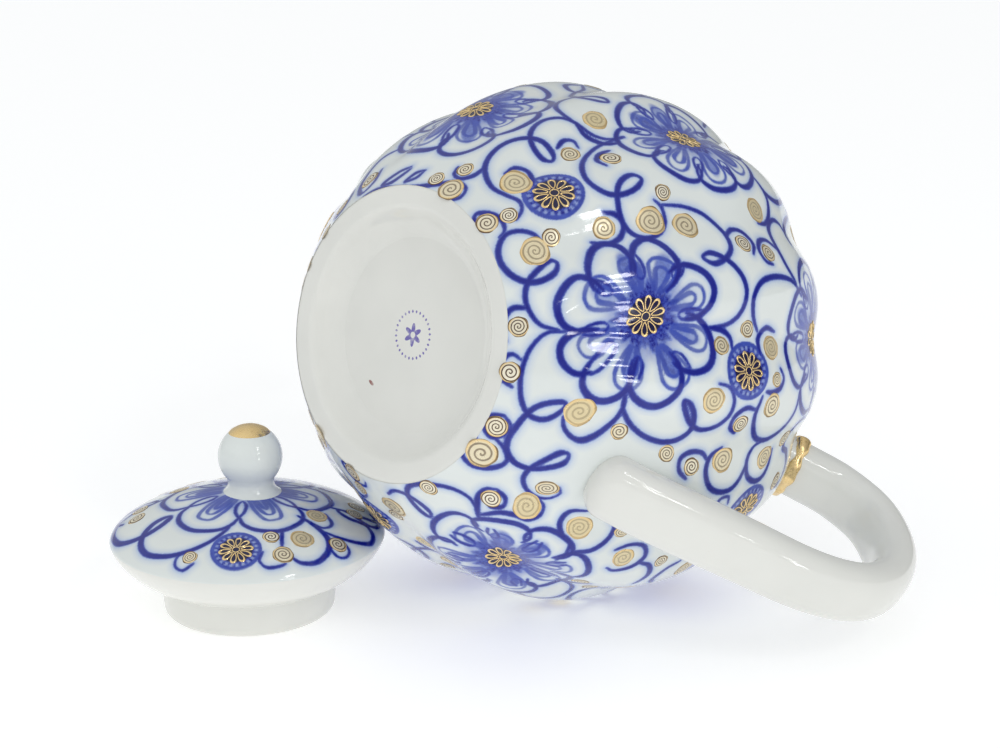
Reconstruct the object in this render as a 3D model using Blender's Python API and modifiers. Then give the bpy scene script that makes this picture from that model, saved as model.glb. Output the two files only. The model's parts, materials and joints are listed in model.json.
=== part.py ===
"""A lobed porcelain teapot laid on its side, with its lid standing on the table beside it.

Metres, +Z up. The table is the plane z = 0, and the group stands centred over the origin.
The pot is built upright about its own axis, with the centre of its belly at (0, 0, 0), its
foot towards -Z, its handle towards +X and its spout towards -X. The empty pot_axis then lays
it down. The lid is built upright on its locating flange, and the empty lid_axis places it.
"""

import math

import bmesh
import bpy
from mathutils import Matrix, Vector

GAP = 0.0003  # clearance between two pieces that touch

# Pot body: the outer wall is a superellipse above the belly and another below it.
BELLY_RADIUS = 0.0650
UPPER_REACH, UPPER_POWER = 0.0590, 2.17
LOWER_REACH, LOWER_POWER = 0.0754, 1.744
WALL = 0.0038
LOBES = 14
LOBE_SWELL = 0.0011  # each lobe stands this far out, and each groove as far in
BODY_STEPS = 5 * LOBES

FOOT_DROP = 0.0593  # belly centre to foot face
FOOT_FACE_OUTER, FOOT_FACE_INNER = 0.0343, 0.0309
RECESS_DEPTH = 0.0052
RECESS_RADIUS = 0.0232
FLOOR_THICKNESS = 0.0038

THROAT_RADIUS = 0.0234
LIP_TOP = 0.0549
LIP_OUTER = 0.0290

# Strainer: holes through the wall behind the spout.
STRAINER_HEIGHT = -0.0050
STRAINER_HOLE = 0.0021
STRAINER_PITCH = 0.0066

# Handle: an oval strap, wider than it is thick, swept along a path in the plane y = 0.
HANDLE_PATH = (  # (distance from the pot's axis, height above the belly)
    (0.0430, -0.0335),
    (0.0540, -0.0360),
    (0.0655, -0.0257),
    (0.0793, -0.0103),
    (0.0932, 0.0060),
    (0.0975, 0.0220),
    (0.0935, 0.0385),
    (0.0825, 0.0500),
    (0.0700, 0.0548),
    (0.0590, 0.0505),
    (0.0455, 0.0380),
)
HANDLE_THICKNESS = 0.0106
HANDLE_BROADENING = 1.40  # width over thickness
HANDLE_ROOT_SWELL = 1.08
COLLAR_OUT = 0.0030  # gilded bead, out from the wall at the handle's upper root
COLLAR_BEAD = 0.0023
COLLAR_LUMPS = ((3, 0.10, 0.4), (5, 0.14, 1.9), (8, 0.08, 0.7))  # (waves round it, share, phase)

# Spout: a tapering tube, opposite the handle.
SPOUT_PATH = (
    (0.0530, -0.0170),
    (0.0640, -0.0080),
    (0.0735, 0.0060),
    (0.0800, 0.0220),
    (0.0868, 0.0370),
    (0.0945, 0.0480),
)
SPOUT_ROOT_RADIUS, SPOUT_TIP_RADIUS = 0.0138, 0.0068
SPOUT_TAPER = 1.6
SPOUT_WALL = 0.0024
LIP_GILDING_LENGTH = 0.0028
GILDING = 0.0005  # thickness of the gilded pieces

# Lid, from the table up.
FLANGE_FOOT_RADIUS = 0.0217
FLANGE_TOP_RADIUS = 0.0220
FLANGE_HEIGHT = 0.0084
FLANGE_WALL = 0.0036
FLANGE_ROUNDING = 0.0014
UNDERSIDE_POWER = 1.25
RIM_RADIUS = 0.0346
RIM_HEIGHT = 0.0193
DOME_HEIGHT = 0.0316
DOME_POWER = 1.58
LID_WALL = 0.0036
VENT_RADIUS = 0.0014
VENT_PLACE = (0.0125, 0.0165)  # from the lid's axis
DRILL_REACH = 0.020  # a drill this long passes the wall it stands in
LID_STEPS = 44

KNOB_RADIUS = 0.0081
KNOB_CENTRE = 0.0402
KNOB_NECK = 0.0067
KNOB_OFF_CENTRE = 0.0012  # set by hand, it stands this far from the lid's axis
KNOB_GILDING_ANGLE = math.radians(50)  # above the knob's equator
KNOB_STEPS = 28

# How the two pieces lie.
POT_HEADING = math.radians(43.75)  # of the foot-to-mouth axis, from +Y towards +X
POT_DIP = math.radians(12.65)  # mouth end below the foot end
POT_ROLL = math.radians(116.9)  # handle, from straight up, about the axis
LID_FROM_POT = Vector((-0.0796, -0.0179))  # lid's axis from the belly centre, seen from above


def clear_scene():
    for obj in list(bpy.data.objects):
        bpy.data.objects.remove(obj, do_unlink=True)


def collection(name):
    made = bpy.data.collections.new(name)
    bpy.context.scene.collection.children.link(made)
    return made


def finish(name, colour, roughness, metallic=0.0):
    material = bpy.data.materials.new(name)
    material.use_nodes = True
    shader = material.node_tree.nodes["Principled BSDF"]
    shader.inputs["Base Color"].default_value = (*colour, 1.0)
    shader.inputs["Roughness"].default_value = roughness
    shader.inputs["Metallic"].default_value = metallic
    return material


def add_part(name, mesh, material):
    """A visible sub-part."""
    mesh.name = name
    mesh.materials.clear()
    mesh.materials.append(material)
    mesh.shade_smooth()
    mesh.set_sharp_from_angle(angle=math.radians(40))
    part = bpy.data.objects.new(name, mesh)
    PARTS.objects.link(part)
    return part


def add_cutter(name, mesh):
    cutter = bpy.data.objects.new(name, mesh)
    cutter.hide_render = True
    cutter.display_type = "WIRE"
    CUTTERS.objects.link(cutter)
    return cutter


def cut(part, cutter):
    boolean = part.modifiers.new(cutter.name, "BOOLEAN")
    boolean.operation = "DIFFERENCE"
    boolean.solver = "EXACT"
    boolean.object = cutter


def as_mesh(source):
    """The mesh that an object or a curve makes, with its loose ends welded. The object goes."""
    graph = bpy.context.evaluated_depsgraph_get()
    mesh = bpy.data.meshes.new_from_object(source.evaluated_get(graph))
    bpy.data.objects.remove(source, do_unlink=True)
    shape = bmesh.new()
    shape.from_mesh(mesh)
    bmesh.ops.remove_doubles(shape, verts=shape.verts, dist=1e-6)
    bmesh.ops.recalc_face_normals(shape, faces=shape.faces)
    shape.to_mesh(mesh)
    shape.free()
    return mesh


def turned(profile, steps):
    """A turned solid from (radius, height) points that run down its outer side."""
    mesh = bpy.data.meshes.new("profile")
    points = [(radius, 0.0, height) for radius, height in profile]
    mesh.from_pydata(points, [(i, i + 1) for i in range(len(points) - 1)], [])
    lathe = bpy.data.objects.new("profile", mesh)
    CUTTERS.objects.link(lathe)
    screw = lathe.modifiers.new("turn", "SCREW")
    screw.steps = steps
    screw.render_steps = steps
    screw.use_merge_vertices = True
    screw.merge_threshold = 1e-5
    return as_mesh(lathe)


def smooth_path(points, count):
    """Evenly numbered points on a Catmull-Rom curve through the given ones."""
    knots = [Vector(p) for p in points]
    knots = [2 * knots[0] - knots[1], *knots, 2 * knots[-1] - knots[-2]]
    path = []
    for i in range(count + 1):
        along = i / count * (len(points) - 1)
        k = min(int(along), len(points) - 2)
        t = along - k
        a, b, c, d = knots[k : k + 4]
        path.append(
            0.5 * (2 * b + (c - a) * t + (2 * a - 5 * b + 4 * c - d) * t**2)
            + 0.5 * (3 * b - a - 3 * c + d) * t**3
        )
    return path


def tube(path, radii, resolution):
    """A capped round tube along points in space, with a radius for each."""
    curve = bpy.data.curves.new("tube", "CURVE")
    curve.dimensions = "3D"
    curve.bevel_depth = 1.0
    curve.bevel_resolution = resolution
    curve.use_fill_caps = True
    spline = curve.splines.new("POLY")
    spline.points.add(len(path) - 1)
    for point, place, radius in zip(spline.points, path, radii):
        point.co = (*place, 1.0)
        point.radius = radius
    rod = bpy.data.objects.new("tube", curve)
    CUTTERS.objects.link(rod)
    return as_mesh(rod)


def smoothstep(low, high, value):
    t = min(max((value - low) / (high - low), 0.0), 1.0)
    return t * t * (3 - 2 * t)


def wall_radius(height, offset=0.0):
    """The body's mean outer radius at a height, grown by offset."""
    if height < 0:
        reach, power = LOWER_REACH, LOWER_POWER
    else:
        reach, power = UPPER_REACH, UPPER_POWER
    share = min(abs(height) / (reach + offset), 1.0)
    return (BELLY_RADIUS + offset) * (1 - share**power) ** (1 / power)


def wall_height(radius, offset=0.0):
    """The height above the belly at which the upper wall has a radius."""
    share = radius / (BELLY_RADIUS + offset)
    return (UPPER_REACH + offset) * (1 - share**UPPER_POWER) ** (1 / UPPER_POWER)


def wall_outline(top, bottom, offset, count):
    """(radius, height) points down the wall, evenly spaced in height."""
    heights = [top + (bottom - top) * i / count for i in range(count + 1)]
    return [(wall_radius(height, offset), height) for height in heights]


def lobe_swell(around, height):
    """How far the lobes move the wall outwards: they fade near the foot and the mouth."""
    fade = smoothstep(-0.0550, -0.0440, height) * (1 - smoothstep(0.0330, 0.0500, height))
    return LOBE_SWELL * fade * math.cos(LOBES * around)


def press_lobes(mesh):
    for vertex in mesh.vertices:
        x, y, height = vertex.co
        radius = math.hypot(x, y)
        if radius < BELLY_RADIUS / 2:
            continue
        grown = 1 + lobe_swell(math.atan2(y, x), height) / radius
        vertex.co.x = x * grown
        vertex.co.y = y * grown


def body_profile():
    recess_floor = -FOOT_DROP + RECESS_DEPTH
    floor = recess_floor + FLOOR_THICKNESS
    inner_radius = wall_radius(floor, -WALL)
    inside = wall_outline(wall_height(THROAT_RADIUS + 0.004, -WALL), floor + 0.003, -WALL, 15)
    outside = wall_outline(wall_height(LIP_OUTER), -FOOT_DROP + 0.0012, 0.0, 18)
    throat_foot = inside[0][1] + 0.0006
    lip = [
        (THROAT_RADIUS + 0.0012, throat_foot),
        (THROAT_RADIUS, throat_foot + 0.0010),
        (THROAT_RADIUS, LIP_TOP - 0.0022),
        (THROAT_RADIUS + 0.0006, LIP_TOP - 0.0008),
        (THROAT_RADIUS + 0.0019, LIP_TOP),
        (LIP_OUTER - 0.0016, LIP_TOP),
    ]
    foot = [
        (FOOT_FACE_OUTER + 0.0010, -FOOT_DROP + 0.0004),
        (FOOT_FACE_OUTER, -FOOT_DROP),
        (FOOT_FACE_INNER, -FOOT_DROP),
        (FOOT_FACE_INNER - 0.0010, -FOOT_DROP + 0.0006),
        (RECESS_RADIUS + 0.0026, recess_floor - 0.0008),
        (RECESS_RADIUS, recess_floor),
        (0.0, recess_floor),
    ]
    floor_corner = [
        (0.0, floor),
        (inner_radius - 0.0050, floor),
        (inner_radius - 0.0008, floor + 0.0009),
    ]
    return floor_corner + inside[::-1] + lip + outside + foot


def grown_body():
    """The body filled in and grown by the gap: what the pieces on its wall are cut back by."""
    top = UPPER_REACH + GAP
    bottom = -FOOT_DROP
    outline = wall_outline(top - 0.0008, bottom, GAP, 26)
    mesh = turned([(0.0, top), *outline, (0.0, bottom)], BODY_STEPS)
    press_lobes(mesh)
    return add_cutter("body_clearance", mesh)


def drills(name, radius, stands):
    """Round cutters, one at each matrix, drilling along its Z."""
    shape = bmesh.new()
    for stand in stands:
        bmesh.ops.create_cone(
            shape,
            cap_ends=True,
            segments=10,
            radius1=radius,
            radius2=radius,
            depth=DRILL_REACH,
            matrix=stand,
        )
    mesh = bpy.data.meshes.new(name)
    shape.to_mesh(mesh)
    shape.free()
    return add_cutter(name, mesh)


def strainer_holes():
    """Seven holes, one in the middle of six, inside the spout's root."""
    places = [(0.0, 0.0)]
    for i in range(6):
        turn = math.radians(60 * i + 30)
        places.append((STRAINER_PITCH * math.cos(turn), STRAINER_PITCH * math.sin(turn)))
    sideways = Matrix.Rotation(math.pi / 2, 4, "Y")
    stands = []
    for across, up in places:
        spot = Matrix.Translation((-BELLY_RADIUS, across, STRAINER_HEIGHT + up))
        stands.append(spot @ sideways)
    return drills("strainer_holes", STRAINER_HOLE, stands)


def make_pot_body(material):
    mesh = turned(body_profile(), BODY_STEPS)
    press_lobes(mesh)
    body = add_part("pot_body", mesh, material)
    cut(body, strainer_holes())
    return body


def handle_mesh(growth):
    """The strap as a round tube stretched sideways, grown by growth all round."""
    count = 36
    path = smooth_path([(r, 0.0, z) for r, z in HANDLE_PATH], count)
    radii = []
    for i in range(count + 1):
        swell = 1 + (HANDLE_ROOT_SWELL - 1) * (1 - smoothstep(0.0, 0.55, i / count))
        radii.append(HANDLE_THICKNESS / 2 * swell + growth)
    mesh = tube(path, radii, 4)
    for vertex in mesh.vertices:
        vertex.co.y *= HANDLE_BROADENING
    return mesh


def make_handle(material, clearance):
    handle = add_part("handle", handle_mesh(0.0), material)
    cut(handle, clearance)
    return handle


def upper_root():
    """Where the handle's path leaves the wall, and the wall's outward direction there."""
    path = smooth_path([(r, 0.0, z) for r, z in HANDLE_PATH], 400)
    outside = [p for p in path[200:] if p.x > wall_radius(p.z)]
    root = outside[-1]
    slope = Vector(
        (
            (root.x / BELLY_RADIUS) ** (UPPER_POWER - 1) / BELLY_RADIUS,
            0.0,
            (root.z / UPPER_REACH) ** (UPPER_POWER - 1) / UPPER_REACH,
        )
    )
    return root, slope.normalized()


def make_handle_collar(material, clearance):
    """The lumpy gilded bead round the handle where it meets the shoulder."""
    root, outward = upper_root()
    centre = root + outward * COLLAR_OUT
    across = Vector((0.0, 1.0, 0.0))
    up = across.cross(outward)
    steps = 40
    reach = HANDLE_THICKNESS / 2 + GAP
    path, radii = [], []
    for i in range(steps + 1):
        turn = 2 * math.pi * i / steps
        lump = sum(share * math.sin(waves * turn + phase) for waves, share, phase in COLLAR_LUMPS)
        bead = COLLAR_BEAD * (1 + lump)
        ring = up * math.cos(turn) * (reach + bead * 0.45)
        ring += across * math.sin(turn) * (reach * HANDLE_BROADENING + bead * 0.45)
        path.append(centre + ring)
        radii.append(bead)
    mesh = ring_tube(path[:-1], radii[:-1])
    collar = add_part("handle_collar", mesh, material)
    cut(collar, clearance)
    cut(collar, add_cutter("handle_clearance", handle_mesh(GAP)))
    return collar


def ring_tube(path, radii):
    """A closed round bead along points in space, with a radius for each."""
    curve = bpy.data.curves.new("bead", "CURVE")
    curve.dimensions = "3D"
    curve.bevel_depth = 1.0
    curve.bevel_resolution = 2
    spline = curve.splines.new("POLY")
    spline.points.add(len(path) - 1)
    spline.use_cyclic_u = True
    for point, place, radius in zip(spline.points, path, radii):
        point.co = (*place, 1.0)
        point.radius = radius
    bead = bpy.data.objects.new("bead", curve)
    CUTTERS.objects.link(bead)
    return as_mesh(bead)


def spout_line(count):
    return smooth_path([(-r, 0.0, z) for r, z in SPOUT_PATH], count)


def spout_radius(share):
    """The outer radius at a share of the way from root to tip."""
    swell = SPOUT_ROOT_RADIUS - SPOUT_TIP_RADIUS
    return SPOUT_TIP_RADIUS + swell * (1 - share) ** SPOUT_TAPER


def spout_end(path):
    """The point at the path's end and the direction there."""
    return path[-1], (path[-1] - path[-2]).normalized()


def spout_bore():
    """The channel, run on past both ends."""
    count = 22
    path = spout_line(count)
    radii = [spout_radius(i / count) - SPOUT_WALL for i in range(count + 1)]
    root, back = spout_end(path[::-1])
    tip, out = spout_end(path)
    path = [root + back * 0.003, *path, tip + out * 0.004]
    radii = [radii[0], *radii, radii[-1]]
    return tube(path, radii, 3)


def make_spout(material, clearance):
    """The tube, stepped down at its tip by the gilding's thickness and gap."""
    count = 22
    path = spout_line(count)
    tip, out = spout_end(path)
    step = LIP_GILDING_LENGTH + GAP
    seat = SPOUT_TIP_RADIUS - GILDING - GAP
    path = [*path[:-2], tip - out * step, tip - out * (step - 0.0001), tip]
    radii = [spout_radius(i / count) for i in range(count - 1)]
    radii += [SPOUT_TIP_RADIUS, seat, seat]
    spout = add_part("spout", tube(path, radii, 4), material)
    cut(spout, add_cutter("spout_bore", spout_bore()))
    cut(spout, clearance)
    return spout


def make_spout_gilding(material):
    """The gilded band round the spout's tip."""
    tip, out = spout_end(spout_line(22))
    band = tube([tip - out * LIP_GILDING_LENGTH, tip], [SPOUT_TIP_RADIUS] * 2, 4)
    seat = SPOUT_TIP_RADIUS - GILDING
    hole = tube([tip - out * 0.006, tip + out * 0.003], [seat] * 2, 4)
    gilding = add_part("spout_gilding", band, material)
    cut(gilding, add_cutter("spout_gilding_bore", hole))
    return gilding


def dome_point(turn, offset=0.0):
    """A point on the dome, from the rim at 0 to the top at a right angle."""
    power = 2 / DOME_POWER
    rise = DOME_HEIGHT - RIM_HEIGHT
    radius = (RIM_RADIUS - offset) * math.cos(turn) ** power
    return radius, RIM_HEIGHT + (rise - offset) * math.sin(turn) ** power


def underside_point(turn):
    """A point on the rounded underside, from the flange at 0 to the rim at a right angle."""
    power = 2 / UNDERSIDE_POWER
    radius = FLANGE_TOP_RADIUS + (RIM_RADIUS - FLANGE_TOP_RADIUS) * math.sin(turn) ** power
    return radius, RIM_HEIGHT - (RIM_HEIGHT - FLANGE_HEIGHT) * math.cos(turn) ** power


def lid_profile():
    quarter = math.pi / 2
    dome = [dome_point(quarter * (1 - i / 10)) for i in range(10)]
    dome = [(radius, height) for radius, height in dome if radius > KNOB_NECK]
    underside = [underside_point(quarter * (1 - i / 7)) for i in range(8)]
    flange_inner = FLANGE_FOOT_RADIUS - FLANGE_WALL
    flange = [
        (FLANGE_TOP_RADIUS - 0.0002, FLANGE_HEIGHT - 0.0009),
        (FLANGE_FOOT_RADIUS, FLANGE_ROUNDING),
        (FLANGE_FOOT_RADIUS - 0.0004, 0.0004),
        (FLANGE_FOOT_RADIUS - FLANGE_ROUNDING, 0.0),
        (flange_inner + 0.0008, 0.0),
        (flange_inner, 0.0008),
        (flange_inner, FLANGE_HEIGHT + 0.0020),
    ]
    hollow = [dome_point(quarter * (0.30 + 0.70 * i / 6), LID_WALL) for i in range(7)]
    hollow[-1] = (0.0, hollow[-1][1])
    top = DOME_HEIGHT
    return [(0.0, top), (KNOB_NECK, top), *dome, *underside, *flange, *hollow]


def make_lid(material):
    lid = add_part("lid", turned(lid_profile(), LID_STEPS), material)
    stand = Matrix.Translation((*VENT_PLACE, DOME_HEIGHT - LID_WALL))
    cut(lid, drills("steam_vent", VENT_RADIUS, [stand]))
    return lid


def turned_knob(name, profile, material):
    mesh = turned(profile, KNOB_STEPS)
    mesh.transform(Matrix.Translation((KNOB_OFF_CENTRE, 0.0, 0.0)))
    return add_part(name, mesh, material)


def knob_arc(low, high, radius, count):
    """Points down the knob's ball between two heights given as angles above its equator."""
    arc = []
    for i in range(count + 1):
        turn = high + (low - high) * i / count
        arc.append((radius * math.cos(turn), KNOB_CENTRE + radius * math.sin(turn)))
    return arc


def make_lid_knob(material):
    """The ball, stepped in at its top for the gilding, on a short neck."""
    seat = knob_arc(KNOB_GILDING_ANGLE, math.pi / 2, KNOB_RADIUS - GILDING - GAP, 4)
    seat[0] = (0.0, seat[0][1])
    edge = KNOB_GILDING_ANGLE - GAP / KNOB_RADIUS
    foot = DOME_HEIGHT + GAP
    ball_bottom = -math.acos(KNOB_NECK / KNOB_RADIUS)
    ball = knob_arc(ball_bottom, edge, KNOB_RADIUS, 10)
    neck = [(KNOB_NECK, foot + 0.0006), (KNOB_NECK + 0.0004, foot), (0.0, foot)]
    return turned_knob("lid_knob", [*seat, *ball, *neck], material)


def make_knob_gilding(material):
    """The gilded cap over the knob's top."""
    outside = knob_arc(KNOB_GILDING_ANGLE, math.pi / 2, KNOB_RADIUS, 5)
    inside = knob_arc(KNOB_GILDING_ANGLE, math.pi / 2, KNOB_RADIUS - GILDING, 5)
    outside[0] = (0.0, outside[0][1])
    inside[0] = (0.0, inside[0][1])
    return turned_knob("knob_gilding", outside + inside[::-1], material)


def evaluated_corners(parts):
    """The lowest and highest corner of the parts as they stand."""
    bpy.context.view_layer.update()
    graph = bpy.context.evaluated_depsgraph_get()
    low = Vector((math.inf,) * 3)
    high = -low
    for part in parts:
        evaluated = part.evaluated_get(graph)
        mesh = evaluated.to_mesh()
        for vertex in mesh.vertices:
            place = evaluated.matrix_world @ vertex.co
            low = Vector(map(min, low, place))
            high = Vector(map(max, high, place))
        evaluated.to_mesh_clear()
    return low, high


def pot_turn():
    """The rotation that lays the upright pot on its side."""
    level = math.cos(POT_DIP)
    axis = Vector(
        (level * math.sin(POT_HEADING), level * math.cos(POT_HEADING), -math.sin(POT_DIP))
    )
    up = (Vector((0, 0, 1)) - axis * axis.z).normalized()
    side = axis.cross(up)
    handle = up * math.cos(POT_ROLL) + side * math.sin(POT_ROLL)
    return Matrix((handle, axis.cross(handle), axis)).transposed()


def axis_empty(name, parts):
    empty = bpy.data.objects.new(name, None)
    PARTS.objects.link(empty)
    for part in parts:
        part.parent = empty
    return empty


def lay_out(pot_parts, lid_parts, cutters):
    """Stands both empties on the table and centres the group over the origin."""
    pot = axis_empty("pot_axis", pot_parts)
    lid = axis_empty("lid_axis", lid_parts)
    for part in lid_parts:
        if part.modifiers:
            part.modifiers[0].object.parent = lid
    for cutter in cutters:
        if cutter.parent is None:
            cutter.parent = pot
    pot.matrix_world = pot_turn().to_4x4()
    pot.location.z -= evaluated_corners(pot_parts)[0].z
    lid.location = (*LID_FROM_POT, 0.0)
    low, high = evaluated_corners(pot_parts + lid_parts)
    shift = Vector((-(low.x + high.x) / 2, -(low.y + high.y) / 2, 0.0))
    pot.location += shift
    lid.location += shift


def main():
    clear_scene()
    painted = finish("painted_porcelain", (0.78, 0.82, 0.87), 0.12)
    white = finish("white_porcelain", (0.80, 0.80, 0.76), 0.12)
    gold = finish("gold", (0.72, 0.46, 0.13), 0.22, 1.0)
    clearance = grown_body()
    pot_parts = [
        make_pot_body(painted),
        make_handle(white, clearance),
        make_handle_collar(gold, clearance),
        make_spout(painted, clearance),
        make_spout_gilding(gold),
    ]
    lid_parts = [make_lid(painted), make_lid_knob(white), make_knob_gilding(gold)]
    lay_out(pot_parts, lid_parts, list(CUTTERS.objects))


PARTS = collection("porcelain_teapot")
CUTTERS = collection("cutters")
main()
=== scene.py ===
"""A cobalt-painted, gilded porcelain teapot lying on its side, with its lid beside it.

Everything is in metres. The pot is described upright in its own frame: Z from the foot to the
mouth, X towards the handle, and the belly's centre at the origin. A place on its painted wall is
(azimuth, colatitude) in degrees: azimuth 0 at the handle, colatitude 0 at the mouth and 180 at
the foot. A place on the lid is (azimuth in degrees, distance from its axis in millimetres).
"""

import json
import math

import bpy
import numpy as np
from mathutils import Matrix, Vector


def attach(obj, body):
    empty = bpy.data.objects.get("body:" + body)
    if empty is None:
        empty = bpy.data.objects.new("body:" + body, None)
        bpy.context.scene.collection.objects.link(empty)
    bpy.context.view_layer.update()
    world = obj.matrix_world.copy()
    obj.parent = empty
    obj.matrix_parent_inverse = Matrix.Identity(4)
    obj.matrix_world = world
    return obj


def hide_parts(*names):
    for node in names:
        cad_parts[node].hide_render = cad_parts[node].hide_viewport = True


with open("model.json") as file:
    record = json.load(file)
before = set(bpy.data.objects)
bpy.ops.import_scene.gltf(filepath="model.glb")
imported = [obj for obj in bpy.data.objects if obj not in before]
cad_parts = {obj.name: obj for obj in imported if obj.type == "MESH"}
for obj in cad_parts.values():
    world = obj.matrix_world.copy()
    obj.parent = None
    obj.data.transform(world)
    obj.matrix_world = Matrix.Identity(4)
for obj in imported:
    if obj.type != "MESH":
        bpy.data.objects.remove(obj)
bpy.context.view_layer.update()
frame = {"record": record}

MM = 0.001
TAU = 2 * math.pi

# The pot's wall: a superellipse above the belly and another below it, pressed into lobes.
BELLY = 0.0650
UPPER_REACH, UPPER_POWER = 0.0590, 2.17
LOWER_REACH, LOWER_POWER = 0.0754, 1.744
LOBES = 14
LOBE_SWELL = 0.0011
FOOT_DROP = 0.0593
THROAT = 0.0234
LIP_TOP = 0.0549
WALL = 0.0038
GILDING = 0.00012  # how far gold stands above the glaze
DRAWN = 0.0645  # radius of the sphere that distances on the wall are measured on

# How the pot lies: the same angles as the frame's.
HEADING = math.radians(43.75)
DIP = math.radians(12.65)
ROLL = math.radians(116.9)
FOOT_MOUNT_OUT = 0.0326  # the foot's mount is this far from the axis, towards the handle

# The lid.
LID_RIM = 0.0346
LID_RIM_HEIGHT = 0.0193
LID_TOP = 0.0316
DOME_POWER = 1.58
UNDERSIDE_POWER = 1.42
FLANGE_TOP = 0.0220
FLANGE_HEIGHT = 0.0084
FLANGE_MOUNT_OUT = 0.0194
KNOB_CENTRE = 0.0402
KNOB_RADIUS = 0.0081
KNOB_OFF_CENTRE = 0.0012
KNOB_GILDING = math.radians(50)


# ---- frames


def mount(name):
    found = [m for m in frame["record"]["mounts"] if m["name"] == name]
    return Vector(found[0]["pos_m"])


def pot_turn():
    """The pot's own frame as a rotation: columns are handle, side and foot-to-mouth axis."""
    level = math.cos(DIP)
    axis = Vector((level * math.sin(HEADING), level * math.cos(HEADING), -math.sin(DIP)))
    up = (Vector((0, 0, 1)) - axis * axis.z).normalized()
    handle = up * math.cos(ROLL) + axis.cross(up) * math.sin(ROLL)
    return Matrix((handle, axis.cross(handle), axis)).transposed()


POT_TURN = pot_turn()
POT_CENTRE = mount("foot_ring") - POT_TURN @ Vector((FOOT_MOUNT_OUT, 0, -FOOT_DROP))
POT = Matrix.Translation(POT_CENTRE) @ POT_TURN.to_4x4()
LID = Matrix.Translation(mount("lid_flange_foot") - Vector((FLANGE_MOUNT_OUT, 0, 0)))


# ---- numbers


def smoothstep(low, high, value):
    t = np.clip((value - low) / (high - low), 0.0, 1.0)
    return t * t * (3 - 2 * t)


def spline(points, step):
    """Points along a Catmull-Rom curve through the given ones, about step apart."""
    p = np.asarray(points, float)
    p = np.vstack([2 * p[0] - p[1], p, 2 * p[-1] - p[-2]])
    out = []
    for i in range(1, len(p) - 2):
        a, b, c, d = p[i - 1 : i + 3]
        count = max(2, math.ceil(np.linalg.norm(c - b) / step))
        t = np.linspace(0, 1, count, endpoint=False)[:, None]
        curve = 2 * b + (c - a) * t + (2 * a - 5 * b + 4 * c - d) * t**2
        out.append(0.5 * (curve + (3 * b - a - 3 * c + d) * t**3))
    out.append(p[-2:-1])
    return np.vstack(out)


def resampled(points, step):
    """The same line with points evenly spaced."""
    run = np.concatenate([[0], np.cumsum(np.linalg.norm(np.diff(points, axis=0), axis=1))])
    at = np.linspace(0, run[-1], max(3, round(run[-1] / step)))
    return np.stack([np.interp(at, run, points[:, i]) for i in range(points.shape[1])], axis=1)


# ---- meshes


def add_object(name, mesh, body, matrix, material, cad_nodes=()):
    obj = bpy.data.objects.new(name, mesh)
    bpy.context.scene.collection.objects.link(obj)
    mesh.transform(matrix)
    mesh.materials.append(material)
    mesh.shade_smooth()
    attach(obj, body)
    if cad_nodes:
        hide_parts(*cad_nodes)
    return obj


def quads_of(rows, columns):
    """The faces of a grid of rows and columns, with the last column joined to the first."""
    row = np.arange(rows - 1)[:, None] * columns
    left = np.arange(columns)[None, :]
    right = (left + 1) % columns
    corners = [row + left, row + right, row + columns + right, row + columns + left]
    return np.stack(corners, axis=-1).reshape(-1, 4)


def mesh_of(name, vertices, faces):
    """A mesh from arrays of vertices and four-cornered faces."""
    vertices = np.asarray(vertices, float).reshape(-1, 3)
    mesh = bpy.data.meshes.new(name)
    mesh.vertices.add(len(vertices))
    mesh.vertices.foreach_set("co", vertices.ravel())
    mesh.loops.add(faces.size)
    mesh.loops.foreach_set("vertex_index", faces.ravel().astype(np.int32))
    mesh.polygons.add(len(faces))
    starts = np.arange(0, faces.size, faces.shape[1], dtype=np.int32)
    mesh.polygons.foreach_set("loop_start", starts)
    mesh.update(calc_edges=True)
    mesh.validate()
    return mesh


def set_floats(mesh, name, values):
    """Four numbers at each vertex, as a colour attribute."""
    layer = mesh.attributes.new(name, "FLOAT_COLOR", "POINT")
    layer.data.foreach_set("color", values.astype(np.float32).ravel())


def turned(profile, columns):
    """The grid and faces of a surface of revolution, from (radius, height) points."""
    profile = np.asarray(profile, float)
    turn = np.arange(columns) * TAU / columns
    x = profile[:, :1] * np.cos(turn)
    y = profile[:, :1] * np.sin(turn)
    z = np.repeat(profile[:, 1:], columns, axis=1)
    grid = np.stack([x, y, z], axis=-1)
    return grid, quads_of(len(profile), columns)


# ---- the pot's wall


def wall_radius(height, offset=0.0):
    reach = np.where(height < 0, LOWER_REACH, UPPER_REACH) + offset
    power = np.where(height < 0, LOWER_POWER, UPPER_POWER)
    share = np.clip(np.abs(height) / reach, 0, 1)
    return (BELLY + offset) * (1 - share**power) ** (1 / power)


def lobe_swell(around, height):
    fade = smoothstep(-0.0560, -0.0430, height) * (1 - smoothstep(0.0330, 0.0500, height))
    wave = np.cos(LOBES * around) - 0.1 * np.cos(2 * LOBES * around)
    return LOBE_SWELL * fade * wave


def unit(azimuth, colatitude):
    """Directions from the belly's centre, from angles in radians."""
    flat = np.sin(colatitude)
    parts = (flat * np.cos(azimuth), flat * np.sin(azimuth), np.cos(colatitude))
    return np.stack(np.broadcast_arrays(*parts), axis=-1)


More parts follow.
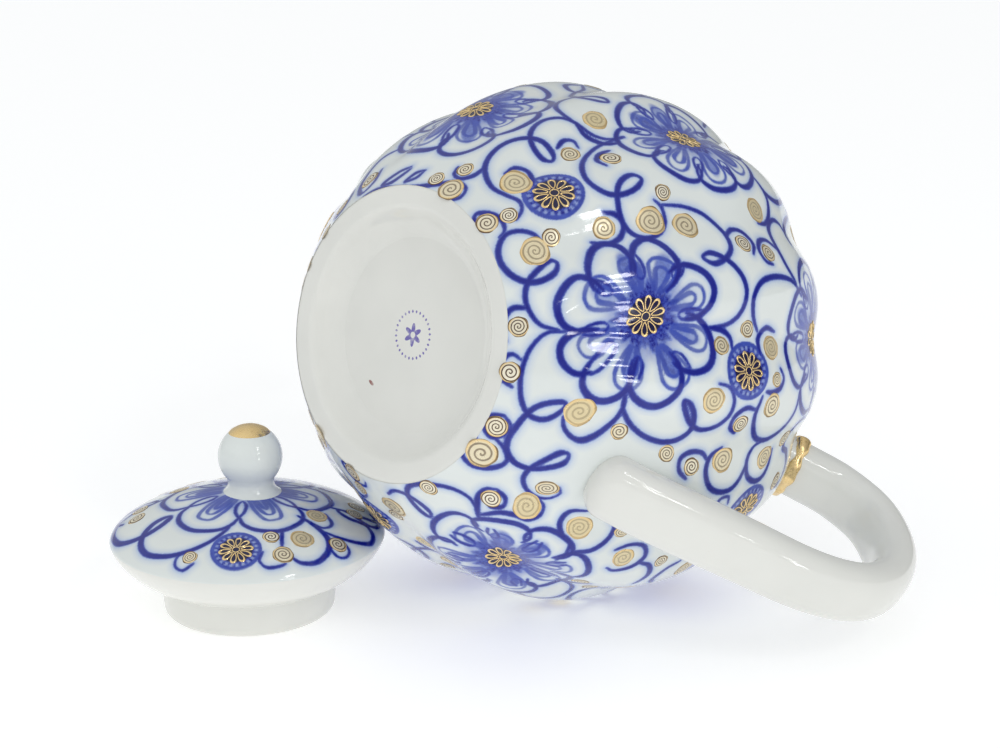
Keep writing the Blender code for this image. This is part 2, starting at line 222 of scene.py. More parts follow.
def wall_points(directions, lift=0.0):
    """Where directions from the belly's centre meet the lobed wall, raised by lift."""
    d = directions / np.linalg.norm(directions, axis=-1, keepdims=True)
    flat = np.hypot(d[..., 0], d[..., 1])
    below = d[..., 2] < 0
    power = np.where(below, LOWER_POWER, UPPER_POWER)
    reach = np.where(below, LOWER_REACH, UPPER_REACH)
    far = ((flat / BELLY) ** power + (np.abs(d[..., 2]) / reach) ** power) ** (-1 / power)
    around = np.arctan2(d[..., 1], d[..., 0])
    radius = far * flat + lobe_swell(around, far * d[..., 2])
    points = np.stack(
        [radius * np.cos(around), radius * np.sin(around), far * d[..., 2]], axis=-1
    )
    return points + d * np.asarray(lift)[..., None]


class PotSurface:
    """Drawing on the pot's wall. Lines are drawn on a sphere round the belly's centre."""

    @staticmethod
    def chart(places):
        """Drawing points from (azimuth, colatitude) in degrees."""
        places = np.radians(np.asarray(places, float))
        return unit(places[..., 0], places[..., 1]) * DRAWN

    @staticmethod
    def around(place, offsets):
        """Drawing points at (right, up) offsets in metres from a place."""
        azimuth, colatitude = np.radians(place)
        centre = unit(azimuth, colatitude)
        right = np.array([-math.sin(azimuth), math.cos(azimuth), 0.0])
        up = -unit(azimuth, colatitude + math.pi / 2)
        offsets = np.asarray(offsets, float)
        far = np.hypot(offsets[..., 0], offsets[..., 1])
        way = offsets / np.maximum(far, 1e-9)[..., None]
        turn = (far / DRAWN)[..., None]
        side = way[..., :1] * right + way[..., 1:] * up
        return (np.cos(turn) * centre + np.sin(turn) * side) * DRAWN

    @staticmethod
    def settle(points):
        return points / np.linalg.norm(points, axis=-1, keepdims=True) * DRAWN

    @staticmethod
    def drape(points, lift):
        return wall_points(points, lift)


# ---- the lid's dome


def dome_height(radius):
    share = np.clip(radius / LID_RIM, 0, 1)
    rise = (1 - share**DOME_POWER) ** (1 / DOME_POWER)
    return LID_RIM_HEIGHT + (LID_TOP - LID_RIM_HEIGHT) * rise


def on_dome(x, y):
    return np.stack([x, y, dome_height(np.hypot(x, y))], axis=-1)


class LidSurface:
    """Drawing on the lid's dome, in the lid's own frame."""

    @staticmethod
    def chart(places):
        """Drawing points from (azimuth in degrees, distance from the axis in millimetres)."""
        places = np.asarray(places, float)
        around, out = np.radians(places[..., 0]), places[..., 1] * MM
        return on_dome(out * np.cos(around), out * np.sin(around))

    @staticmethod
    def around(place, offsets):
        """Drawing points at (along the rim, towards the knob) offsets from a place."""
        around, out = math.radians(place[0]), place[1] * MM
        slope = (dome_height(out + 1e-4) - dome_height(out - 1e-4)) / 2e-4
        run = 1 / math.hypot(1, slope)
        offsets = np.asarray(offsets, float)
        outward = out - offsets[..., 1] * run
        x = outward * math.cos(around) - offsets[..., 0] * math.sin(around)
        y = outward * math.sin(around) + offsets[..., 0] * math.cos(around)
        return on_dome(x, y)

    @staticmethod
    def settle(points):
        return on_dome(points[..., 0], points[..., 1])

    @staticmethod
    def drape(points, lift):
        out = np.hypot(points[..., 0], points[..., 1])
        slope = (dome_height(out + 1e-5) - dome_height(out - 1e-5)) / 2e-5
        lean = 1 / np.hypot(1, slope)
        radial = points[..., :2] / np.maximum(out, 1e-9)[..., None]
        normal = np.concatenate([radial * (-slope * lean)[..., None], lean[..., None]], axis=-1)
        return on_dome(points[..., 0], points[..., 1]) + normal * np.asarray(lift)[..., None]


# ---- brush strokes


class Painting:
    """Brush strokes and washes gathered for one surface."""

    STEP = 0.00022

    def __init__(self, surface):
        self.surface = surface
        self.deep = []
        self.pale = []
        self.washes = []
        self.navy = []
        self.spirals = []
        self.rosettes = []

    @staticmethod
    def tightness(line, gap=7):
        """How much a stroke thins along a line: tight curls are drawn finer than long bends."""
        if len(line) < 4 * gap:
            return np.full(len(line), 0.8)
        step = line[gap:] - line[:-gap]
        step /= np.linalg.norm(step, axis=1, keepdims=True)
        turn = np.arccos(np.clip(np.sum(step[gap:] * step[:-gap], axis=1), -1, 1))
        radius = gap * Painting.STEP / np.maximum(turn, 1e-3)
        radius = np.pad(radius, gap, mode="edge")
        padded = np.pad(radius.clip(0, 0.012), 9, mode="edge")
        eased = np.convolve(padded, np.ones(19) / 19, "valid")
        return 0.55 + 0.45 * smoothstep(0.0013, 0.0052, eased)

    def stroke(self, drawn, width, ends=0.35, pale=False, heavy=0.55):
        """A stroke through drawing points: width in the thick of it, ends as a share of it."""
        line = self.surface.settle(resampled(spline(drawn, 0.0006), self.STEP))
        along = np.linspace(0, 1, len(line))
        swell = np.sin(math.pi * along ** (math.log(0.5) / math.log(heavy))) ** 0.5
        half = width / 2 * (ends + (1 - ends) * swell) * self.tightness(line)
        kept = self.pale if pale else self.deep
        kept.append(np.column_stack([line, half]))

    def vine(self, places, width=1.32 * MM, **how):
        self.stroke(self.surface.chart(places), width, **how)

    def local(self, place, offsets, width, **how):
        self.stroke(self.surface.around(place, offsets), width, **how)


def turned_offsets(points, bearing, scale):
    """(out, across) points in millimetres, turned to a bearing, as (right, up) in metres."""
    points = np.asarray(points, float) * scale * MM
    c, s = math.cos(bearing), math.sin(bearing)
    return np.stack([points[:, 0] * c - points[:, 1] * s, points[:, 0] * s + points[:, 1] * c], 1)


OUTER_PETAL = (
    (12, -4.6), (14.2, -6.5), (17, -6.3), (19.2, -3.6), (19.8, 0.3), (19, 4.4), (16.8, 6.6),
    (14, 6.3), (12.2, 4.4),
)
INNER_PETAL = (
    (6.8, -0.9), (10, -2.3), (13.2, -3), (15.3, -1.9), (15.8, 0.3), (15, 2.2), (12.8, 3.1),
    (9.8, 2.3), (6.8, 0.8),
)
HEART_PETAL = (
    (6.8, -0.4), (9.6, -1.1), (12, -1.4), (13.2, -0.5), (13.1, 0.7), (11.8, 1.5), (9.4, 1),
    (6.8, 0.4),
)
FLOWER_PETALS = 8


def paint_flower(art, place, scale=1.0, spin=0.0, mirror=1, outlines=()):
    """A big flower: eight looped petals with two smaller ones inside each, round a rosette."""
    loops = FRONT_LOOPS if outlines else [(spin + i * 45, 14.2) for i in range(FLOWER_PETALS)]
    for line in outlines:
        art.vine(line, 1.6 * MM, ends=0.34, heavy=0.5)
    for i, (bearing, reach) in enumerate(loops):
        turn = math.radians(bearing if mirror > 0 else 180 - bearing)
        deep = 9.4 + 1.2 * math.sin(2.9 * i + place[0])
        line = [(reach + 0.9, 0.7), (reach - 1.6, 1.25), (deep + 1.0, 1.0), (deep, 0.0),
                (deep + 1.0, -1.0), (reach - 1.6, -1.25), (reach + 0.9, -0.7)]
        art.local(place, turned_offsets(line, turn, scale), 0.72 * MM * scale, ends=0.8)
    for i in range(FLOWER_PETALS):
        bearing = math.radians(spin + (i + 0.5) * 360 / FLOWER_PETALS)
        vary = 1 + 0.05 * math.sin(2.4 * i + place[0])
        wobble = math.radians(3.0) * math.sin(4.1 * i + place[1])
        flip = np.array([1, mirror * (1 if i % 2 else -1)])
        outer = np.array(OUTER_PETAL) * flip * (vary, 1)
        if not outlines:
            offsets = turned_offsets(outer, bearing, scale)
            art.local(place, offsets, 1.5 * MM * scale, ends=0.28)
        for petal, width in ((INNER_PETAL, 0.9), (HEART_PETAL, 1.15)):
            reach = 1 + 0.13 * math.sin(5.3 * i + place[0])
            spread = 1 + 0.22 * math.sin(3.7 * i + place[1])
            inner = np.array(petal) * flip * (reach, spread)
            offsets = turned_offsets(inner, bearing + wobble, scale)
            art.local(place, offsets, width * MM * scale, ends=0.6, pale=True)
        far = turned_offsets([(9.5, 0.0)], bearing + wobble, scale)[0]
        strength = 0.34 + 0.30 * math.sin(7.9 * i + place[0])
        art.washes.append(("petal", place, (far[0], far[1], strength)))
    art.washes.append(("brushed", place, 7.0 * MM * scale))
    art.navy.append((place, 4.4 * MM * scale))
    art.rosettes.append((place, 4.45 * MM * scale, spin))


def paint_medallion(art, place, radius=6.5):
    """A round badge: a dashed blue band round a gilded rosette."""
    turn = np.linspace(0, TAU, 40)
    ring = (radius - 0.35) * MM
    edge = np.stack([ring * np.cos(turn), ring * np.sin(turn)], axis=1)
    art.local(place, edge, 0.8 * MM, ends=1.0, pale=True)
    art.washes.append(("dashed", place, radius * MM))
    art.navy.append((place, radius * 0.66 * MM))
    art.rosettes.append((place, radius * 0.66 * MM, 11.0))


def paint_spirals(art, spirals):
    for azimuth, other, radius in spirals:
        art.spirals.append(((azimuth, other), radius * MM))


# The left side's painting, read round the pot from the handle at 0 to the spout at -180.
FRONT_PETALS = (
    ((-52, 116.6), (-53.4, 114), (-53.2, 111.2), (-51.2, 107.9), (-47.9, 106.2), (-44.3, 107.2),
     (-42, 110.2), (-41.8, 112.6)),
    ((-43, 112.6), (-41.8, 109.6), (-38.9, 106.8), (-35, 105.9), (-31.6, 107.3), (-30, 110.6),
     (-30.4, 114), (-31.8, 116)),
    ((-34, 116.4), (-31.4, 114.6), (-27.1, 114), (-23.6, 115.7), (-21.4, 118.6), (-21.8, 122.1),
     (-24.3, 124.9), (-28.6, 125.6), (-31.6, 124.8)),
    ((-32.6, 123.6), (-30, 124.6), (-24, 126), (-20.8, 128.9), (-20.7, 132.1), (-23.4, 134.5),
     (-27.1, 134.8), (-30.4, 133.6)),
    ((-27.6, 133.4), (-26.7, 136.4), (-29.3, 138.9), (-33.6, 139.4), (-37, 137.6), (-38.9, 134.3),
     (-39.2, 131.4)),
    ((-39.2, 131.2), (-38.5, 135.5), (-40.7, 138.8), (-46.3, 140), (-51.3, 138.3), (-53.6, 135.7),
     (-52, 132.9), (-49, 131)),
    ((-49.4, 132.8), (-52.6, 133.4), (-56.4, 132.9), (-60.6, 130.4), (-61.8, 127.5), (-59.9, 124.7),
     (-55.2, 123.6), (-52, 124.2)),
    ((-51.8, 125), (-56.4, 123.7), (-60, 121.4), (-61.1, 118.3), (-58.6, 115.5), (-53.8, 113.9),
     (-50.2, 115.2), (-47.8, 117.6)),
)
FRONT_LOOPS = (
    (38, 14.8), (92, 13.6), (144, 14.6), (191, 13.4), (240, 14.4), (283, 14), (309, 18),
    (344, 13.2),
)
LEFT_FLOWERS = (
    ((-126.5, 122.5), 1, 8), ((-86.6, 94.3), 0.93, 20), ((-38.6, 66.5), 0.95, 0),
    ((-134, 70), 0.9, 12),
)
LEFT_MEDALLIONS = (
    ((-79.6, 133.4), 6.7), ((-31, 96.8), 6.6), ((-96, 62), 6.2), ((-158, 104), 6.2),
)
LEFT_SPIRALS = (
    (-66.9, 85, 3.2), (-56, 88, 2.3), (-58, 95, 2.3), (-36, 89, 2.9), (-29.4, 87.8, 1.8),
    (-24, 88.2, 3), (-19.7, 96.2, 2.2), (-11.5, 82, 3), (-11, 96.4, 3.2), (-39.7, 96.4, 2.1),
    (-36, 103.6, 2.2), (-24.4, 105.5, 3.1), (-63.2, 107.8, 3.4), (-71.5, 111, 2.1),
    (-65.4, 115.6, 3.7), (-66, 126.2, 2.8), (-13.4, 123.3, 2.1), (-16.1, 132.9, 3.6),
    (-67.2, 137.5, 2.2), (-64.3, 141.6, 3.4), (-8.7, 104.4, 2.2), (-10.6, 111.3, 2.1),
    (-40, 147.4, 2.2), (-23.7, 148.2, 2.3), (-97.4, 112, 3.2), (-84.2, 117, 2.5),
    (-90.5, 122.9, 2.4), (-89.5, 137.3, 3.8), (-79.4, 143.2, 2), (-80.8, 147.5, 2.5),
    (-105.6, 142.2, 2), (-112.3, 146.6, 2), (-103, 147.5, 3), (-15.5, 75.4, 2.3), (-4.6, 72, 2.3),
    (-66, 62, 2.8), (-70, 50, 2.4), (-112, 80, 2.6), (-104, 72, 2.2), (-114, 58, 3), (-146, 100, 3),
    (-160, 92, 2.4), (-150, 143, 2.6), (-161, 128, 3), (-156, 116, 2.4), (-157, 62, 3),
    (-18, 52, 2.8), (-52, 45, 2.2), (-164.4, 145, 2.2), (-175.2, 51.6, 2.2), (-168.8, 76.8, 2.3),
    (-173.6, 148, 2), (-133.4, 94, 2.6), (-131, 102, 2), (-122.6, 86.6, 2.3),
)
LEFT_VINES = (
    # round the big flower beside the handle
    ((-68.8, 112), (-67.6, 106.5), (-65.2, 101.8), (-61, 99), (-57, 99.2), (-54.4, 102),
     (-53.4, 105.2), (-54.9, 107.6), (-55.9, 105.2), (-54, 101.4), (-50.5, 98.4), (-46.8, 97.5),
     (-43, 98.8), (-40.6, 102), (-39.8, 107)),
    ((-39.7, 106.5), (-39.2, 103), (-37.6, 101.1), (-35.4, 100.8)),
    ((-28, 104.8), (-27.4, 102), (-24.8, 100.2), (-21.4, 100.3), (-18.6, 102.5), (-17.4, 105.9),
     (-18.6, 109), (-21.2, 111.4), (-23.6, 112.6), (-23, 110.9), (-20.4, 109), (-17, 108.1),
     (-14.3, 109.8), (-13, 113.2), (-13.4, 117.2), (-15, 120.6), (-17.4, 123.4), (-20.4, 125.4),
     (-25, 125.8)),
    ((-24, 125.8), (-20.4, 125.2), (-16.2, 125.3), (-11.8, 127.2), (-8.8, 130.2), (-8.6, 132.6),
     (-10.4, 134.6), (-13.6, 135.6)),
    ((-38.4, 138), (-37.9, 142), (-33.4, 144.8), (-27, 146), (-20.6, 145.9), (-14.8, 144.7),
     (-11.2, 142.6), (-10.9, 139.8), (-12.8, 137.6), (-15.6, 136.3), (-17.8, 136.5), (-17, 138.9),
     (-14.4, 141.6), (-10.2, 143.2), (-5, 144), (-0.8, 144.2), (3.2, 143.2), (5.6, 140.6),
     (5, 137.6), (1.8, 134.8), (-1.4, 132.7), (-4, 132.5), (-3.6, 134.2), (0.4, 136.3),
     (4.8, 137.5), (9.2, 136.9), (12.4, 134.4), (13.2, 131.2), (11.4, 129), (8.4, 128.6),
     (6.3, 130)),
    ((-38.8, 139.5), (-40.4, 143.2), (-45, 145.2), (-50, 145.7), (-55, 144.6), (-58.4, 142),
     (-60.2, 139.5), (-58.8, 138.3), (-56, 139.5), (-54.4, 142.2), (-55, 145), (-58.5, 147.4),
     (-64, 148.6), (-69.5, 148), (-73.2, 145.8), (-72.8, 143.2), (-70, 140.8), (-66.6, 139.6)),
    ((-73.4, 147), (-75, 145.4), (-79, 144.9), (-83, 145.8), (-86.4, 147.8), (-84.4, 149.2),
     (-79, 149.4)),
    ((-34.6, 149.6), (-38, 150.2), (-43, 150), (-46.6, 148.2), (-46.2, 145.6)),
    ((-18.6, 147.2), (-22, 150.4), (-27, 150.2), (-30.2, 148.4), (-28.4, 146.4)),
    # down the middle of the side
    ((-90.6, 108.5), (-91, 112.4), (-94, 115.4), (-98.8, 117), (-102, 118.6), (-103.7, 121.4),
     (-103.3, 124.6), (-101, 127.6), (-97, 129.1), (-92.6, 128.7), (-90.9, 127.2), (-93, 126.1),
     (-97.5, 126.6), (-101.2, 129), (-103.4, 132.5), (-103.5, 136), (-101.4, 139.2), (-97.4, 141.1),
     (-92, 141.9), (-87, 141), (-82.4, 139.9), (-79, 140.6), (-76.8, 142.4)),
    ((-90.3, 108.5), (-90.2, 113), (-89.5, 117), (-87.5, 121), (-84.5, 124), (-80.5, 125.8),
     (-77, 125.4), (-74, 123.3), (-73, 120.2), (-73.7, 116.8), (-75.6, 114.7), (-77.3, 116.2),
     (-76.8, 118.8), (-74.6, 121), (-71, 122), (-66.6, 121.8), (-62.8, 120.4), (-61.3, 117.6),
     (-62.2, 114.4), (-64.9, 112.2), (-68.2, 112.2), (-70.2, 113.6)),
    ((-98.8, 116.9), (-94, 116.8), (-90, 114.2), (-88.8, 110.8)),
    ((-87.2, 115), (-86.9, 117.8), (-84.8, 120), (-82, 119.6)),
    ((-91.4, 120.2), (-93.8, 120.2), (-95, 122.2), (-93.8, 124.6)),
    ((-63, 129.8), (-61.6, 126.8), (-62.6, 123.6), (-65.6, 121.9), (-68.6, 123), (-70, 125.8)),
    ((-94.4, 137.8), (-94.2, 135), (-91, 133.2), (-86.8, 134.6), (-84.6, 138)),
    ((-100.8, 139.2), (-100.8, 142.2), (-103.6, 144.4), (-107.4, 144.2), (-109, 142.2)),
    # up towards the mouth
    ((-73.2, 79.4), (-70, 78.2), (-66.4, 79.6), (-64.1, 82.4), (-63.7, 85.8)),
    ((-78, 61), (-73, 67.5), (-71, 73), (-71.8, 78), (-75.5, 81)),
    ((-70.4, 64), (-67, 69.8), (-63.4, 73.2), (-60.2, 73.4)),
    ((-62, 73), (-65.2, 74.6), (-65.6, 78.4), (-63, 82), (-58.6, 83.4), (-53.8, 82.5), (-50, 79.4)),
    ((-57, 83.6), (-59.2, 86.2), (-58.8, 89.2), (-56.4, 91), (-54, 90), (-53.4, 87.6)),
    ((-55.4, 93.4), (-58, 92), (-60.9, 93.4), (-61.5, 96.2), (-59.8, 99)),
    ((-47.4, 77), (-50.2, 81), (-50.8, 87), (-49.6, 92.6), (-46.4, 95.3), (-42.6, 95),
     (-39.2, 93.2)),
    ((-39.4, 87.4), (-40.1, 90.6), (-37.8, 93.1), (-34.4, 92.8)),
    ((-31.8, 86.4), (-29.8, 85.2), (-27.8, 86.2), (-26.8, 88.8), (-26.9, 91.2)),
    ((-26.8, 77.6), (-22.4, 77.6), (-18.4, 80), (-16, 84.2), (-16.2, 88.4), (-18.5, 91.4),
     (-22, 93), (-26, 92.2)),
    ((-23, 93.2), (-23.3, 96.2), (-21.4, 98.6), (-18.8, 98.6), (-17.4, 96.4)),
    ((-15.8, 85), (-14.4, 87.8), (-11, 88.5), (-7.6, 87), (-6.2, 83.4), (-7.2, 80.4), (-10, 79),
     (-13.2, 79.6)),
    ((-13, 88.3), (-8.6, 88.8), (-5, 91.2), (-4, 94.8), (-5, 98.2), (-8, 100.3), (-11.6, 100),
     (-13.8, 97.8)),
    ((-10.2, 100.3), (-12, 102.6), (-11.8, 105.6), (-10, 107.6), (-7.4, 107.3), (-5.9, 105)),
    ((-1.2, 90.2), (-3, 91.2), (-2.4, 93.4), (-0.4, 93.8)),
    ((-20, 66), (-19.4, 71), (-16.6, 74), (-12.8, 73.4), (-11, 69.6), (-7.4, 67), (-3.4, 68.6),
     (-3, 72.6)),
    # towards the spout
    ((-122, 91), (-117.6, 95.4), (-115.6, 100.4), (-112.4, 104.8), (-108.2, 107), (-103.8, 106.3),
     (-101.9, 104.6), (-104, 103.7), (-107.6, 105.2), (-110.3, 108.4), (-109.6, 112.2),
     (-106.6, 115.6), (-102.4, 117.1), (-97.6, 116.8)),
    ((-128.4, 144), (-133, 145.2), (-138.4, 148), (-133.6, 148.2), (-130, 146.4), (-127.8, 144.6)),
    ((-120.2, 145), (-123.6, 146), (-125.8, 148.4), (-121.8, 147.4), (-120.4, 145.6)),
    ((-148, 149.2), (-140, 149), (-128, 150), (-118, 149.6), (-110, 147.8), (-104, 145.6),
     (-98.8, 145.6), (-97, 147.8), (-100, 150)),
    ((-145, 108), (-150, 104), (-150, 98), (-146, 94.6), (-141.4, 96.2), (-140.6, 100.6)),
    ((-121, 91), (-116, 86), (-108.4, 84), (-106.8, 79), (-110, 75.4), (-114.6, 77), (-115.6, 82)),
    ((-147, 116), (-152, 112), (-157.6, 113), (-160, 117), (-157, 120.6)),
    ((-146, 132), (-152, 136), (-155, 142), (-151, 147.4), (-145.6, 145.4), (-146, 140.6)),
    ((-148, 124), (-154, 124), (-161, 123.2), (-165.4, 127), (-163, 132.6), (-157.4, 132.4)),
    ((-148, 82), (-154, 86), (-161, 87), (-165, 91.6), (-162.4, 96.6), (-157, 95.6)),
    ((-148, 74), (-154.6, 70), (-161.4, 66), (-162, 59.4), (-156, 57), (-152, 61)),
    ((-104, 92), (-107, 86), (-108.6, 82)),
    ((-95, 78.4), (-98.4, 74), (-103, 68.4), (-107.4, 70), (-107.2, 75)),
    ((-86, 79), (-82.4, 72), (-82, 64), (-87, 56), (-95, 53.4), (-104, 55.4), (-108, 61),
     (-113.8, 63.6), (-119.4, 60.4), (-118, 54.6)),
    ((-60, 66), (-61.4, 59.4), (-66, 56.8), (-71.4, 59), (-71.4, 65)),
    ((-60, 52), (-66, 45.6), (-74.6, 45.4), (-76.6, 51.4), (-71, 55.2)),
    ((-20, 60), (-12, 57.4), (-11, 50), (-17.4, 46.4), (-25, 49.4)),
    ((-44, 50), (-46, 43), (-53, 40), (-60, 43.4), (-58, 49)),
    ((-116, 50), (-106, 44.4), (-94, 43), (-84, 46.6), (-80, 53)),
    ((-122, 50), (-134, 43), (-150, 42), (-160, 47), (-160, 54)),
    ((-138, 104.6), (-141, 99), (-138.4, 92.6), (-132, 90), (-127.4, 93.4), (-129, 98),
     (-133.4, 97.6)),
    ((-112.4, 96.6), (-117, 99.4), (-121.6, 97), (-121.4, 92.4)),
    # under the spout and round its root
    ((-181.2, 128), (-176, 126.2), (-170.2, 128.6), (-167.6, 134), (-169.6, 140.2), (-175, 144),
     (-178.6, 146.6), (-181.2, 149)),
    ((-167.6, 136), (-162.6, 138.8), (-159.6, 143.6), (-162.6, 147.6), (-167.4, 147.2),
     (-168.6, 143.8), (-165.8, 142)),
    ((-168, 131.6), (-169.2, 125.2), (-166.6, 119.6), (-162.6, 119), (-161.2, 122)),
    ((-181.2, 82), (-175, 78.6), (-170.6, 71.6), (-171.8, 64), (-176.2, 59.4), (-181.2, 56)),
    ((-171, 68), (-166.6, 72), (-165.2, 78), (-168.4, 82.4), (-172, 80.6)),
    ((-172.6, 62.4), (-169.4, 56), (-170.4, 49.6), (-175.6, 46.8), (-179, 50.4)),
    ((-158.6, 57.6), (-164.8, 54), (-169.6, 55.6)),
)

# Beside the handle on its right, where the two sides differ.
RIGHT_SPIRALS = (
    (15.6, 119, 3.4), (12.6, 109.5, 2), (19.3, 104.4, 2.9), (18.4, 93.5, 1.9), (8.6, 131.5, 2.6),
    (17, 132, 3.5), (21.6, 139, 2.4), (-3, 147.2, 2.5), (9, 146.8, 3.6), (22, 82, 2.8),
    (178.8, 67, 3.4),
)
RIGHT_VINES = (
    ((10.2, 114), (12.4, 111.8), (16, 111.2), (20, 113), (22.8, 116.4), (27, 118.4)),
    ((24.6, 117.2), (20.6, 118.6), (19.4, 121.6), (16.6, 123.6), (12.4, 123.2), (10, 120.4)),
    ((18, 107.8), (15.4, 104.8), (15, 101.4), (17.6, 99.2), (21, 100.4), (23.6, 103.6),
     (23.4, 106)),
    ((28, 93.2), (23, 93.6), (20, 96), (19.6, 99.4)),
    ((18.6, 86.6), (21, 89.6), (25, 90), (27.6, 87.4)),
    ((13.4, 131), (14.6, 128.9), (17.4, 128.4), (20.2, 130.2), (21.2, 133), (23.8, 135.8),
     (29.4, 137.4)),
    ((17.6, 139.4), (18.6, 136.8), (21.4, 136.2), (24.4, 137.8)),
    ((17.6, 139.4), (19.8, 141.2), (24, 141), (28, 139), (31, 136.6)),
    ((28.6, 138.8), (27, 141.6), (28.8, 144.8), (33.8, 147.4), (40.6, 148.8), (46.6, 148.4),
     (49.8, 146), (49.4, 142.6), (47.4, 140.2), (45.6, 141), (46.4, 143.6), (49.8, 146.4),
     (55, 147.4), (60, 146)),
    ((-8, 146.8), (-5.4, 144.9), (-1.6, 145.3), (1.6, 147.2), (-1, 149.4), (-5.8, 149.2),
     (-8, 146.8)),
    ((1, 146.6), (3, 143.8), (6.8, 142), (11.4, 143.2), (15.2, 146.4), (14.6, 149.2), (10, 150.2),
     (4.6, 149.4)),
)
NECK_SCALLOPS = LOBES
NECK_SCALLOP = ((-12.4, 32.6), (-11, 36.2), (-6, 38.6), (0, 39.4), (6, 38.6), (11.4, 36),
                (14.2, 32.6), (12.9, 30.4), (11.2, 32.2), (12.4, 35))
MIRROR_PLANE = -1.2  # azimuth that the right side mirrors the left about
FRONT_FLOWER = (-42.3, 121.6)
RIGHT_FLOWER_SPIN = 29.0
RIGHT_FROM = 30.0  # the mirrored painting starts this far round from the handle
RIGHT_LOW_FROM = 60.0  # and this far near the foot


def moved(places, turn):
    """The same places further round."""
    return [(azimuth + turn, other) for azimuth, other in places]


def mirrored(place):
    return (2 * MIRROR_PLANE - place[0], place[1])


def pot_painting():
    art = Painting(PotSurface)
    for place, scale, spin in LEFT_FLOWERS:
        paint_flower(art, place, scale, spin)
        paint_flower(art, mirrored(place), scale, -spin, mirror=-1)
    paint_flower(art, FRONT_FLOWER, outlines=FRONT_PETALS)
    paint_flower(art, mirrored(FRONT_FLOWER), 0.98, RIGHT_FLOWER_SPIN, mirror=-1)
    for place, radius in LEFT_MEDALLIONS:
        paint_medallion(art, place, radius)
        if mirrored(place)[0] > RIGHT_FROM:
            paint_medallion(art, mirrored(place), radius)
    paint_medallion(art, (1.0, 82.0), 7.0)
    paint_medallion(art, (178.8, 136.5), 6.2)
    for i in range(NECK_SCALLOPS):
        centre = (i + 0.5) * 360 / NECK_SCALLOPS
        art.vine(moved(NECK_SCALLOP, centre))
        if i % 2:
            art.spirals.append(((centre, 34.4), 2.1 * MM))
    for line in LEFT_VINES:
        art.vine(line)
        other = [mirrored(place) for place in line]
        low = max(place[1] for place in other) > 138
        if min(place[0] for place in other) > (RIGHT_LOW_FROM if low else RIGHT_FROM):
            art.vine(other)
    for line in RIGHT_VINES:
        art.vine(line)
    paint_spirals(art, LEFT_SPIRALS)
    paint_spirals(art, RIGHT_SPIRALS)
    for azimuth, colatitude, radius in LEFT_SPIRALS:
        place = mirrored((azimuth, colatitude))
        if place[0] > RIGHT_FROM:
            art.spirals.append((place, radius * MM))
    return art


# ---- the lid's painting

LID_SCALLOPS = 6
LID_PETALS = ((17.6, 12.5, 0.95), (15.2, 8.0, 0.95), (12.6, 4.0, 1.0))  # reach, spread, width
PETAL_AT = -121.0
LID_SPIRALS = (
    (-69.5, 23.6, 2.1), (-53, 26, 3), (-66.8, 29.4, 2.6), (-111, 30, 1.9), (-28, 20.8, 2.7),
    (-37.5, 30.4, 2.4), (-171, 27.5, 2.4), (-3, 27.2, 2.3),
)
LID_VINES = (  # (places, width in millimetres)
    (((-95.5, 18), (-98.5, 21), (-105, 25), (-113, 28.4), (-122, 30.8), (-132, 31.8), (-140, 31),
     (-147, 28.5), (-151.6, 25), (-152, 22), (-149.2, 20.6), (-146.2, 22), (-144.8, 25.2),
     (-146.4, 28.6), (-151, 31.5), (-158, 33.2), (-169, 33.6), (-178, 32.4), (-183, 29), (-185, 25),
     (-188, 21.6)), 1.7),
    (((-63.5, 30.6), (-60, 32.3), (-53, 32.8), (-45, 31.2), (-39.6, 28), (-38.6, 23),
     (-40.6, 18.4)), 1.5),
    (((-38.4, 25.4), (-34, 28.8), (-27.4, 31.9), (-20, 33.6), (-13.4, 33), (-9.4, 30.6),
     (-11.8, 27), (-10.4, 24.2), (-7.2, 23.4), (-5, 25.6), (-7.8, 30.2), (-5.2, 32.4), (1, 33),
     (7, 31)), 1.4),
    (((-113, 28.6), (-117, 30.4), (-115.8, 32.6), (-111.4, 33.2), (-107.8, 31.4)), 0.9),
    (((-76, 28), (-78.4, 30.4), (-75.4, 32.2), (-70, 32.2), (-67, 31.8)), 0.9),
    (((-43.2, 30), (-42.6, 32.8), (-38.8, 33.6), (-34.8, 32.8), (-33.8, 30.6)), 0.9),
    (((-38.2, 21.8), (-36.2, 24.6), (-31.2, 25.4), (-26, 24.6), (-20.6, 21.6)), 1),
    (((-66, 27.4), (-63.4, 24.2), (-60.4, 21.8)), 0.9),
)


